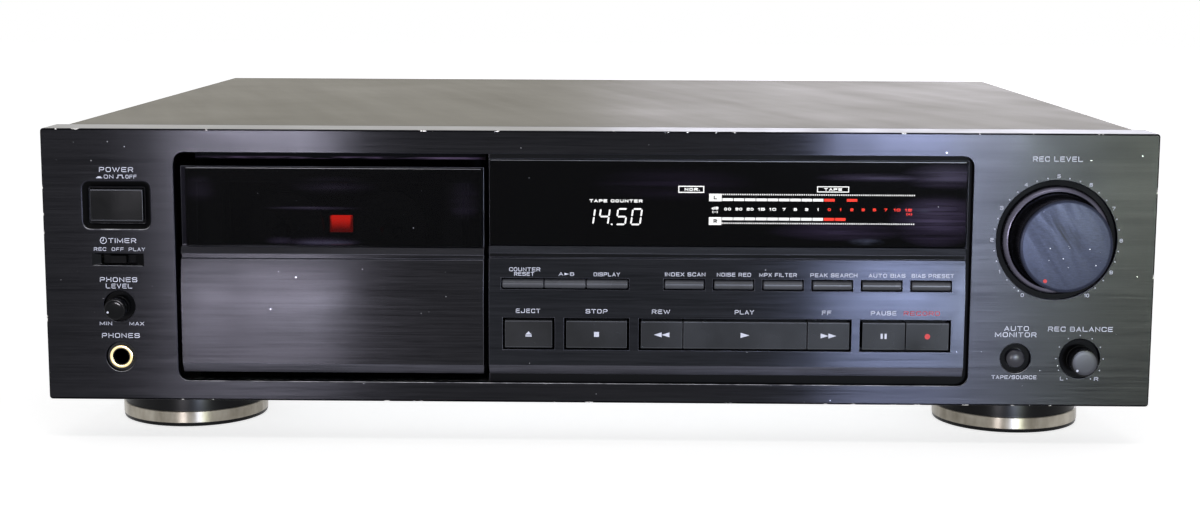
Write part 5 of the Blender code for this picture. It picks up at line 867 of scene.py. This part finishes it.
RECORD_AT, PHONES_AT, BALANCE_AT = map(middle, ("record_level_knob", "phones_knob", "balance_knob"))
lathe(
    "record_knob_body",
    [
        (17.6, -17.2), (17.9, -17.0), (17.95, -16.2), (17.7, -12.0), (17.55, -8.5),
        (17.55, -5.6), (17.8, -3.4), (18.4, -1.9), (19.2, -0.9), (19.8, -0.3),
        (21.4, 0.4), (21.4, 1.3), (3.0, 1.3), (3.0, 13.3),
    ],
    RECORD_AT, place, "knob", "record_level_knob", 128, ("record_level_knob",),
)
lathe(
    "record_knob_face",
    [
        (0, -18.0), (6.0, -17.97), (12.0, -17.89), (16.6, -17.78), (17.45, -17.74),
        (17.85, -17.5), (18.0, -17.1), (17.6, -16.9),
    ],
    RECORD_AT, place, "knob_face", "record_level_knob", 128,
)
lathe(
    "record_knob_rim",
    [
        (19.1, -0.6), (19.2, -1.5), (19.5, -1.75), (20.0, -1.65), (20.6, -1.2), (21.1, -0.6),
        (21.45, 0.0), (21.6, 0.5), (21.6, 1.0), (21.2, 1.2),
    ],
    RECORD_AT, place, "rim", "record_level_knob", 128,
)


def small_knob(node, at, radius, proud, pot_end, end_look):
    """Small knob with a crowned, softly rounded end and a fine groove at its foot."""
    lathe(
        f"{node}_fine",
        [
            (radius - 0.75, -proud + 0.2), (radius - 0.45, -proud + 0.24),
            (radius - 0.12, -proud + 0.52), (radius, -proud + 1.0), (radius, -2.2),
            (radius - 0.25, -2.0), (radius - 0.25, -1.7), (radius, -1.5), (radius, 1.3),
            (2.0, 1.3), (2.0, pot_end),
        ],
        at, place, "knob", node, 64, (node,),
    )
    lathe(
        f"{node}_end",
        [
            (0, -proud), (radius - 2.0, -proud + 0.02), (radius - 1.0, -proud + 0.09),
            (radius - 0.72, -proud + 0.16), (radius - 0.66, -proud + 0.3),
        ],
        at, place, end_look, node, 64,
    )


def around(at, reach, angle):
    """Point round a middle, at an angle clockwise from the top."""
    turn = math.radians(angle)
    return at[0] + reach * math.sin(turn), at[1] + reach * math.cos(turn)


DOT_THICKNESS = 0.3


def knob_dot(name, body, at, reach, angle, proud, radius, look):
    """Index dot on a knob's end."""
    shape = bmesh.new()
    slab(shape, disc(*around(at, reach, angle), radius, 20), INK_FRONT - proud, DOT_THICKNESS)
    piece(name, shape, [look], body)


small_knob("phones_knob", PHONES_AT, 4.3, 8.0, 11.3, "power")
small_knob("balance_knob", BALANCE_AT, 5.5, 9.5, 12.3, "knob_end")
knob_dot("record_knob_dot", "record_level_knob", RECORD_AT, 15.6, -150, 17.96, 0.75, "ink_red")
knob_dot("phones_knob_dot", "phones_knob", PHONES_AT, 2.9, -113, 8.0, 0.42, "ink_light")
knob_dot("balance_knob_dot", "balance_knob", BALANCE_AT, 4.1, -136, 9.5, 0.45, "ink_light")
lathe(
    "monitor_button_fine",
    [
        (0, -1.4), (0.9, -1.36), (1.9, -1.2), (2.8, -0.9), (3.3, -0.55), (3.6, -0.2), (3.65, 0.2),
        (3.65, 3.3), (5.2, 3.3), (5.2, 4.8), (0, 4.8),
    ],
    middle("monitor_button"), place, "knob_end", "monitor_button", 64, ("monitor_button",),
)
JACK_UP = 17.5
lathe(
    "phones_jack_ring",
    [
        (3.25, 3.0), (3.25, 0.75), (3.45, 0.42), (3.8, 0.32), (4.35, 0.32), (4.65, 0.45),
        (4.8, 0.8), (4.8, 3.0),
    ],
    (middle("phones_jack")[0], JACK_UP), place, "gilt", "cabinet", 64,
)


# Feet: dark moulding and satin metal ring
for node in ("foot_front_left", "foot_front_right", "foot_rear_left", "foot_rear_right"):
    low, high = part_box(node)
    centre = ((low.x + high.x) / 2 / MM, (low.y + high.y) / 2 / MM)
    top = high.z / MM
    lathe(
        f"{node}_fine",
        [
            (0, 0.5), (24.0, 0.5), (25.0, 0.0), (29.5, 0.0), (30.1, 0.25), (30.3, 0.7), (30.3, 1.6),
            (29.9, 1.6), (29.9, 6.4), (29.7, 6.4), (29.6, 7.2), (29.4, top - 2.0),
            (28.9, top - 0.5), (28.3, top), (0, top),
        ],
        centre, from_floor, "foot", "cabinet", 96, (node,),
    )
    lathe(
        f"{node}_ring",
        [
            (29.8, 1.65), (30.35, 1.65), (30.5, 1.8), (30.5, 6.2), (30.35, 6.42), (29.8, 6.5),
        ],
        centre, from_floor, "ring", "cabinet", 128,
    )


# Inner pieces keep their own shapes
KEPT = {
    "black": ("phones_jack", "reel_spindle_left", "reel_spindle_right"),
    "tube": ("display_tube",),
    "board": ("main_board",),
    "dark_board": ("front_board",),
    "zinc": ("transformer", "record_level_pot", "balance_pot", "phones_pot"),
    "mech_black": ("mech_plate",),
    "steel": (
        "capstan_motor", "capstan_left", "capstan_right", "tape_head", "pinch_arm_left",
        "pinch_arm_right",
    ),
    "rubber": ("drive_belt", "pinch_roller_left", "pinch_roller_right"),
    "lamp": ("cassette_lamp",),
    "gilt": ("motor_pulley",),
    "inner_black": ("head_bridge",),
}
for look, nodes in KEPT.items():
    for node in nodes:
        for holder in NODES[node].material_slots:
            holder.material = LOOKS[look].material


# Lettering on the front: words, left, right, low, high
BAND_CREASE = 44.7
BAND_TOP = 58.2
BAND_LEAN = 2.0


def band(up):
    return BAND_LEAN * (up - BAND_CREASE) / (BAND_TOP - BAND_CREASE)


PANEL_WORDS = (
    ("POWER", -197.0, -183.5, 91.8, 93.7), ("ON", -195.2, -191.4, 89.2, 90.7),
    ("OFF", -186.6, -182.2, 89.2, 90.7), ("TIMER", -194.2, -183.2, 63.5, 65.4),
    ("REC", -200.1, -195.2, 60.3, 61.7), ("OFF", -193.0, -188.2, 60.3, 61.7),
    ("PLAY", -186.2, -179.7, 60.3, 61.7), ("PHONES", -198.1, -183.2, 47.8, 49.7),
    ("LEVEL", -195.8, -185.3, 45.2, 47.1), ("MIN", -198.7, -193.8, 30.3, 31.7),
    ("MAX", -186.8, -181.0, 30.3, 31.7), ("PHONES", -198.0, -182.9, 25.2, 27.1),
    ("REC LEVEL", 170.5, 190.0, 98.0, 100.0), ("AUTO", 161.6, 171.3, 30.5, 32.4),
    ("MONITOR", 158.0, 174.4, 28.0, 29.9), ("TAPE/SOURCE", 157.2, 175.0, 11.0, 12.5),
    ("REC BALANCE", 178.9, 204.5, 30.4, 32.3), ("L", 184.4, 185.7, 10.6, 12.0),
    ("R", 197.9, 199.5, 10.6, 12.0),
)
BAND_WORDS = (
    ("COUNTER", -35.1, -22.8, 53.0, 54.5), ("RESET", -33.1, -25.2, 51.2, 52.7),
    ("A", -15.4, -13.6, 51.3, 52.7), ("B", -10.9, -9.3, 51.3, 52.7),
    ("DISPLAY", -1.5, 8.9, 51.2, 52.7), ("INDEX SCAN", 26.8, 42.8, 51.4, 52.9),
    ("NOISE RED", 47.4, 60.9, 51.4, 52.9), ("MPX FILTER", 64.2, 79.0, 51.4, 52.9),
    ("PEAK SEARCH", 84.4, 103.0, 51.4, 52.9), ("AUTO BIAS", 107.5, 122.0, 51.4, 52.9),
    ("BIAS PRESET", 124.5, 141.2, 51.4, 52.9),
)
KEY_WORDS = (
    ("EJECT", -32.4, -22.7, 36.4, 38.1), ("STOP", -4.6, 4.0, 36.4, 38.1),
    ("REW", 21.7, 28.9, 36.4, 38.1), ("PLAY", 54.6, 62.2, 36.4, 38.1),
    ("FF", 89.2, 92.9, 36.4, 38.1), ("PAUSE", 108.6, 118.7, 36.4, 38.1),
)
legends = bmesh.new()
for words, left, right, low, high in PANEL_WORDS + KEY_WORDS:
    lettering(legends, words, left, right, low, high)
for words, left, right, low, high in BAND_WORDS:
    lettering(legends, words, left, right, low, high, surface=band)

# Symbols beside the words: key pushed in and let out, clock, range arrow
for bar in (
    (-198.2, -195.9, 89.3, 89.6), (-197.7, -196.4, 89.6, 90.0), (-190.2, -189.5, 89.3, 89.6),
    (-189.7, -189.4, 89.6, 90.7), (-189.4, -188.0, 90.4, 90.7), (-188.0, -187.7, 89.6, 90.7),
    (-187.9, -187.2, 89.3, 89.6), (-196.3, -196.06, 64.4, 65.4), (-196.9, -196.06, 64.2, 64.42),
):
    mark(legends, oblong(*bar))
CLOCK_AT, CLOCK_RADIUS, CLOCK_LINE, CLOCK_STEPS = (-196.2, 64.45), 1.35, 0.24, 28
for step in range(CLOCK_STEPS):
    one, other = 360.0 * step / CLOCK_STEPS, 360.0 * (step + 1) / CLOCK_STEPS
    inner = CLOCK_RADIUS - CLOCK_LINE
    mark(legends, [
        around(CLOCK_AT, radius, angle)
        for radius, angle in ((CLOCK_RADIUS, one), (CLOCK_RADIUS, other), (inner, other), (inner, one))
    ])
mark(legends, [(-13.1, 51.5), (-11.3, 52.0), (-13.1, 52.5)], band)
piece("legends_front", legends, ["ink"])

red_legend = bmesh.new()
lettering(red_legend, "RECORD", 121.6, 135.9, 36.4, 38.1)
piece("legend_record", red_legend, ["ink_red"], "cabinet")

# Scales round the two level controls
scale = bmesh.new()
SCALE_FIRST = -150
SCALE_NUMERAL_RADIUS = 25.4
SCALE_DOT_RADIUS = 24.8
BALANCE_DOT_RADIUS = 9.4
for number in range(11):
    x, up = around(RECORD_AT, SCALE_NUMERAL_RADIUS, SCALE_FIRST + 30 * number)
    half = {1: 0.25, 10: 0.95}.get(number, 0.62)
    lettering(scale, str(number), x - half, x + half, up - 0.7, up + 0.7)
for step in range(31):
    if step % 3:
        mark(scale, disc(*around(RECORD_AT, SCALE_DOT_RADIUS, SCALE_FIRST + 10 * step), 0.25))
for step in range(11):
    mark(scale, disc(*around(BALANCE_AT, BALANCE_DOT_RADIUS, SCALE_FIRST + 30 * step), 0.22))
piece("scale_marks", scale, ["ink"])

# Symbols on the transport keys, each riding on its key
KEY_FACE = -1.0
KEY_MIDDLE = 28.1


def arrow(left, right, half):
    return [(left, -half), (right, 0.0), (left, half)]


for key, outlines in (
    ("eject", [
        [(-1.25, -0.25), (1.25, -0.25), (0.0, 1.05)], oblong(-1.25, 1.25, -1.05, -0.55),
    ]),
    ("stop", [oblong(-1.0, 1.0, -1.0, 1.0)]),
    ("rewind", [
        [(-3.1, 0), (0.0, -1.0), (0.0, 1.0)], [(0.0, 0), (3.1, -1.0), (3.1, 1.0)],
    ]),
    ("play", [arrow(-1.75, 1.75, 1.05)]),
    ("fast_forward", [arrow(-3.1, 0.0, 1.0), arrow(0.0, 3.1, 1.0)]),
    ("pause", [oblong(-1.2, -0.35, -1.05, 1.05), oblong(0.35, 1.2, -1.05, 1.05)]),
    ("record", [disc(0, 0, 1.1, 24)]),
):
    x, _ = middle(f"{key}_button")
    shape = bmesh.new()
    for outline in outlines:
        slab(shape, [(x + u, KEY_MIDDLE + v) for u, v in outline], KEY_FACE + INK_FRONT, 0.08)
    look = "ink_red" if key == "record" else "ink_light"
    piece(f"{key}_button_symbol", shape, [look], f"{key}_button")


# Lit display on the tube's face
TUBE_FACE = 7.5
GLOW_FRONT, DARK_FRONT = TUBE_FACE - 0.1, TUBE_FACE - 0.16
GLOW_WEIGHT = 0.27
white = bmesh.new()
red = bmesh.new()
dark = bmesh.new()


def glow(shape, outline):
    slab(shape, outline, GLOW_FRONT, INK_THICKNESS)


SEGMENTS = {"1": "bc", "4": "bcfg", "5": "acdfg", "0": "abcdef"}
DIGIT_WIDTH, DIGIT_HEIGHT, DIGIT_LEAN, STROKE = 3.6, 6.2, 0.14, 0.32


def digit(shape, sign, left, low):
    w, h, s = DIGIT_WIDTH, DIGIT_HEIGHT, STROKE
    gap = 0.16
    bars = [
        (segment, [
            (gap, up), (gap + s, up + s), (w - gap - s, up + s), (w - gap, up),
            (w - gap - s, up - s), (gap + s, up - s),
        ])
        for segment, up in (("a", h), ("g", h / 2), ("d", 0.0))
    ]
    for segment, x, start in (("f", 0.0, h / 2), ("b", w, h / 2), ("e", 0.0, 0.0), ("c", w, 0.0)):
        end = start + h / 2
        bars.append((segment, [
            (x, start + gap), (x + s, start + gap + s), (x + s, end - gap - s), (x, end - gap),
            (x - s, end - gap - s), (x - s, start + gap + s),
        ]))
    for segment, bar in bars:
        if segment in SEGMENTS[sign]:
            glow(shape, [(left + u + DIGIT_LEAN * v, low + v) for u, v in bar])


DIGITS_LOW = 71.2
for sign, left in (("1", -5.6), ("4", 0.3), ("5", 7.2), ("0", 13.1)):
    digit(white, sign, left, DIGITS_LOW)
glow(white, disc(5.5, DIGITS_LOW, 0.36, 10))


def box_line(shape, left, right, low, high, width):
    for outline in (
        oblong(left, right, low, low + width), oblong(left, right, high - width, high),
        oblong(left, left + width, low + width, high - width),
        oblong(right - width, right, low + width, high - width),
    ):
        glow(shape, outline)


def display_words(shape, words, left, right, low, high, front=GLOW_FRONT):
    lettering(shape, words, left, right, low, high, front, weight=GLOW_WEIGHT)


display_words(white, "TAPE COUNTER", -3.4, 17.7, 80.0, 81.2)
box_line(white, 31.9, 42.2, 84.0, 86.8, 0.4)
display_words(white, "NOR.", 34.4, 40.4, 84.8, 86.0)
box_line(white, 87.0, 99.7, 84.5, 86.9, 0.35)
display_words(white, "TAPE", 89.8, 96.9, 85.15, 86.2)
for low, high, side in ((80.7, 83.7, "L"), (71.2, 74.3, "R")):
    glow(white, oblong(44.2, 49.2, low, high))
    display_words(dark, side, 46.0, 47.4, low + 0.75, high - 0.75, DARK_FRONT)
METER_LEFT, METER_PITCH, METER_BAR, METER_REDS = 49.5, 4.49, 4.15, 9
DOT_COUNT, DOT_PITCH, DOT_WIDTH, DOT_HALF = 88, 0.872, 0.46, 0.26
for i in range(DOT_COUNT):
    x = METER_LEFT + i * DOT_PITCH
    for up in (83.45, 71.95):
        glow(white, oblong(x, x + DOT_WIDTH, up - DOT_HALF, up + DOT_HALF))
for low, high, reds in ((80.85, 81.9, (9, 11)), (73.15, 74.25, (9, 10))):
    for i in (*range(METER_REDS), *reds):
        left = METER_LEFT + i * METER_PITCH
        glow(red if i >= METER_REDS else white, oblong(left, left + METER_BAR, low, high))
for i, words in enumerate("00 30 20 15 10 7 5 3 1 0 1 2 3 5 7 10 12".split()):
    x = METER_LEFT + METER_BAR / 2 + i * METER_PITCH
    half = {"1": 0.25}.get(words, 0.62 if len(words) == 1 else 1.35)
    display_words(red if i >= METER_REDS else white, words, x - half, x + half, 77.05, 78.15)
display_words(white, "dB", 45.3, 47.9, 77.4, 78.5)
display_words(white, "(-)", 45.5, 47.7, 75.9, 76.9)
display_words(red, "(+)", 122.6, 124.9, 75.4, 76.5)
for name, shape, look, slot in (
    ("display_glyphs_white", white, "glow_white", "tube_glass"),
    ("display_glyphs_red", red, "glow_red", "red_lamp"),
    ("display_glyphs_dark", dark, "ink_dark", "tube_glass"),
):
    glyphs = piece(name, shape, [look], "cabinet")
    glyphs.visible_diffuse = False
    glyphs.visible_glossy = False


# Screws: rounded head with a cross recess
def wall(shape, one, other):
    """Faces between two closed rows of as many corners."""
    for i in range(len(one)):
        shape.faces.new((one[i - 1], one[i], other[i], other[i - 1]))


def screw_mesh(radius, rise):
    head = bmesh.new()
    rings = []
    for share in (1.0, 0.96, 0.82, 0.6):
        height = rise * math.sqrt(max(0.0, 1 - (share * 0.98) ** 2))
        rings.append([head.verts.new((*point, height)) for point in disc(0.0, 0.0, radius * share, 32)])
    cross = []
    arm, half = radius * 0.5, radius * 0.13
    for quarter in range(4):
        turn = Matrix.Rotation(math.tau / 4 * quarter, 2)
        cross += [turn @ Vector(p) for p in ((half, half), (half, arm), (-half, arm))]
    cross.sort(key=lambda p: math.atan2(p.y, p.x))
    flat_top = rise * 0.82
    rim = [head.verts.new((p.x, p.y, flat_top)) for p in cross]
    floor = [head.verts.new((p.x * 0.8, p.y * 0.8, flat_top - rise * 0.7)) for p in cross]
    for one, other in zip(rings, rings[1:]):
        wall(head, one, other)
    inner = rings[-1]
    edges = [head.edges.get((inner[i - 1], inner[i])) for i in range(len(inner))]
    edges += [head.edges.new((rim[i - 1], rim[i])) for i in range(len(rim))]
    bmesh.ops.triangle_fill(head, use_beauty=True, edges=edges)
    wall(head, rim, floor)
    head.faces.new(floor)
    base = [head.verts.new((v.co.x, v.co.y, -0.3)) for v in rings[0]]
    wall(head, base, rings[0])
    head.faces.new(base)
    bmesh.ops.recalc_face_normals(head, faces=head.faces)
    return head


def screws(name, places, facing, radius, rise, look):
    """One piece of several like screws; places are in metres, facing is their direction."""
    turn = Vector((0, 0, 1)).rotation_difference(Vector(facing)).to_matrix().to_4x4()
    everything = bmesh.new()
    for index, at in enumerate(places):
        head = screw_mesh(radius, rise)
        spin = Matrix.Rotation(0.9 * index, 4, "Z")
        placing = Matrix.Translation(Vector(at)) @ turn @ Matrix.Scale(MM, 4) @ spin
        bmesh.ops.transform(head, matrix=placing, verts=head.verts)
        part = bpy.data.meshes.new(name)
        head.to_mesh(part)
        head.free()
        everything.from_mesh(part)
        bpy.data.meshes.remove(part)
    piece(name, everything, [look], "cabinet", SCREW_SMOOTH)


cover_low, cover_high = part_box("top_cover")
for side, x, facing in (("left", cover_low.x, (-1, 0, 0)), ("right", cover_high.x, (1, 0, 0))):
    places = [place(0, 32, depth) + Vector((x, 0, 0)) for depth in (70, 310)]
    screws(f"cover_screws_{side}", places, facing, 3.6, 1.5, "dark_screw")
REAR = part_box("rear_panel")[1].y
places = [Vector((x * MM, REAR, BASE + up * MM)) for x in (-205, -70, 70, 205) for up in (11, 101)]
screws("rear_screws", places, (0, 1, 0), 2.7, 0.7, "dark_screw")


# Rear sockets: metal sleeves with white and red collars, and their words
jacks_low, jacks_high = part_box("phono_jacks")
SOCKET_PITCH = 14.0
SOCKET_EDGE = 7.0
sheet_back, jack_end = REAR / MM, jacks_high.y / MM
for column in range(2):
    for row, collar in enumerate(("collar_red", "collar_white")):
        at = (
            jacks_low.x / MM + SOCKET_EDGE + column * SOCKET_PITCH,
            jacks_low.z / MM + SOCKET_EDGE + row * SOCKET_PITCH,
        )
        lathe(
            f"phono_sleeve_{column}_{row}",
            [
                (4.22, sheet_back + 0.3), (4.45, sheet_back + 0.3), (4.45, jack_end - 0.4),
                (4.3, jack_end - 0.1), (3.9, jack_end - 0.02), (2.5, jack_end - 0.02),
                (2.15, jack_end - 0.4), (2.15, jack_end - 6.0),
            ],
            at, from_back, "steel", "cabinet", 48,
        )
        lathe(
            f"phono_collar_{column}_{row}",
            [
                (4.46, sheet_back + 0.02), (6.3, sheet_back + 0.02), (6.3, sheet_back + 0.7),
                (6.0, sheet_back + 1.0), (4.46, sheet_back + 1.0),
            ],
            at, from_back, collar, "cabinet", 48,
        )

BASE_UP = BASE / MM
REAR_WORDS = (
    ("REC IN", 155.0, 167.0, 85.0, 87.0), ("PLAY OUT", 168.6, 184.0, 85.0, 87.0),
    ("L", 150.6, 152.0, 73.0, 75.0), ("R", 150.6, 152.2, 59.0, 61.0),
    ("AC IN", -175.5, -164.5, 77.0, 79.2),
)
rear_legends = bmesh.new()
for words, left, right, low, high in REAR_WORDS:
    lettering(rear_legends, words, left, right, low - BASE_UP, high - BASE_UP)
bmesh.ops.transform(
    rear_legends, verts=rear_legends.verts,
    matrix=Matrix.Translation((0, REAR + FRONT, 0)) @ Matrix.Rotation(math.pi, 4, "Z"),
)
piece("legends_rear", rear_legends, ["ink"])


# Floor, sky and softboxes
def surroundings(tree, base, shown):
    """Strength that is the base for plain scattering, and the shown one to the viewer and in gloss."""
    rays = tree.nodes.new("ShaderNodeLightPath").outputs
    seen = rays["Is Camera Ray"]
    for ray in ("Is Glossy Ray", "Is Transmission Ray"):
        either = tree.nodes.new("ShaderNodeMath")
        either.operation = "MAXIMUM"
        tree.links.new(seen, either.inputs[0])
        tree.links.new(rays[ray], either.inputs[1])
        seen = either.outputs[0]
    strength = tree.nodes.new("ShaderNodeMapRange")
    strength.inputs["To Min"].default_value = base
    strength.inputs["To Max"].default_value = shown
    tree.links.new(seen, strength.inputs["Value"])
    return strength.outputs["Result"]


FLOOR_HALF = 4.0
FLOOR_GLOW = 0.72
SKY_BASE, SKY_SHOWN = 0.35, 1.0
floor_mesh = bpy.data.meshes.new("floor")
floor_corners = oblong(-FLOOR_HALF, FLOOR_HALF, -FLOOR_HALF, FLOOR_HALF)
floor_mesh.from_pydata([(x, y, 0) for x, y in floor_corners], [], [(0, 1, 2, 3)])
floor_look = Look(
    "floor", (0.8, 0.8, 0.8), 0.9, ior=1.5, Specular_IOR_Level=0.0,
    Emission_Color=(1.0, 1.0, 1.0, 1.0),
)
floor_look.join(surroundings(floor_look.tree, 0.0, FLOOR_GLOW), floor_look.sockets["Emission Strength"])
floor_mesh.materials.append(floor_look.material)
floor = placed("floor", floor_mesh)

sky = bpy.data.worlds.new("sky")
sky.use_nodes = True
background = sky.node_tree.nodes["Background"].inputs
background["Color"].default_value = (1.0, 1.0, 1.0, 1.0)
sky.node_tree.links.new(surroundings(sky.node_tree, SKY_BASE, SKY_SHOWN), background["Strength"])
bpy.context.scene.world = sky


def softbox(name, at, towards, wide, tall, power, colour=(1.0, 1.0, 1.0)):
    light = bpy.data.lights.new(name, "AREA")
    light.shape = "RECTANGLE"
    light.size = wide
    light.size_y = tall
    light.energy = power
    light.color = colour
    holder = placed(name, light)
    holder.location = at
    holder.rotation_euler = (Vector(towards) - Vector(at)).to_track_quat("-Z", "Z").to_euler()
    holder.visible_camera = False


softbox("key_softbox", (0.1, -1.5, 2.1), (0.0, 0.1, 0.05), 1.3, 0.3, 8.0)
# Upright softboxes in front of the deck, each given by its sides, brightness and colour
STRIP_Y, STRIP_LOW, STRIP_HIGH = -1.97, 0.005, 0.085
for name, left, right, radiance, colour in (
    ("mauve_strip", -0.587, -0.366, 145.0, (0.96, 0.92, 1.0)),
    ("mauve_wing", -0.66, -0.587, 8.0, (0.93, 0.92, 1.0)),
    ("blue_strip", 0.285, 0.44, 313.0, (0.64, 0.72, 1.0)),
    ("pale_strip", 0.44, 0.53, 180.0, (0.8, 0.88, 1.0)),
    ("green_strip", 0.53, 0.62, 108.0, (0.88, 1.0, 0.88)),
    ("olive_strip", 0.62, 0.8, 82.0, (0.9, 1.0, 0.72)),
):
    wide, tall = right - left, STRIP_HIGH - STRIP_LOW
    x, height = (left + right) / 2, (STRIP_LOW + STRIP_HIGH) / 2
    power = radiance * math.pi * wide * tall
    softbox(name, (x, STRIP_Y, height), (x, 0.0, height), wide, tall, power, colour)
softbox("lavender_softbox", (0.9, 3.0, 0.5), (0.15, 0.1, 0.12), 1.9, 0.8, 10.0, (0.8, 0.8, 1.0))

# Camera at the viewing angle of the picture
CAMERA_AT = (0.01149547, -0.93490984, 0.19011281)
YAW, PITCH, ROLL = -0.0138, 0.14603, 0.00433
camera_data = bpy.data.cameras.new("camera")
camera_data.lens = 58.344
camera_data.sensor_width = 36.0
camera_data.sensor_fit = "HORIZONTAL"
camera_data.clip_start = 0.01
camera_data.clip_end = 50.0
camera = placed("camera", camera_data)
forward = Vector((
    math.sin(YAW) * math.cos(PITCH), math.cos(YAW) * math.cos(PITCH), -math.sin(PITCH)
))
sideways = Vector((math.cos(YAW), -math.sin(YAW), 0.0))
upward = sideways.cross(forward)
turned_sideways = math.cos(ROLL) * sideways + math.sin(ROLL) * upward
turned_upward = -math.sin(ROLL) * sideways + math.cos(ROLL) * upward
axes = Matrix((turned_sideways, turned_upward, -forward)).transposed()
camera.matrix_world = Matrix.Translation(CAMERA_AT) @ axes.to_4x4()
bpy.context.scene.camera = camera
bpy.context.scene.view_settings.view_transform = "Standard"
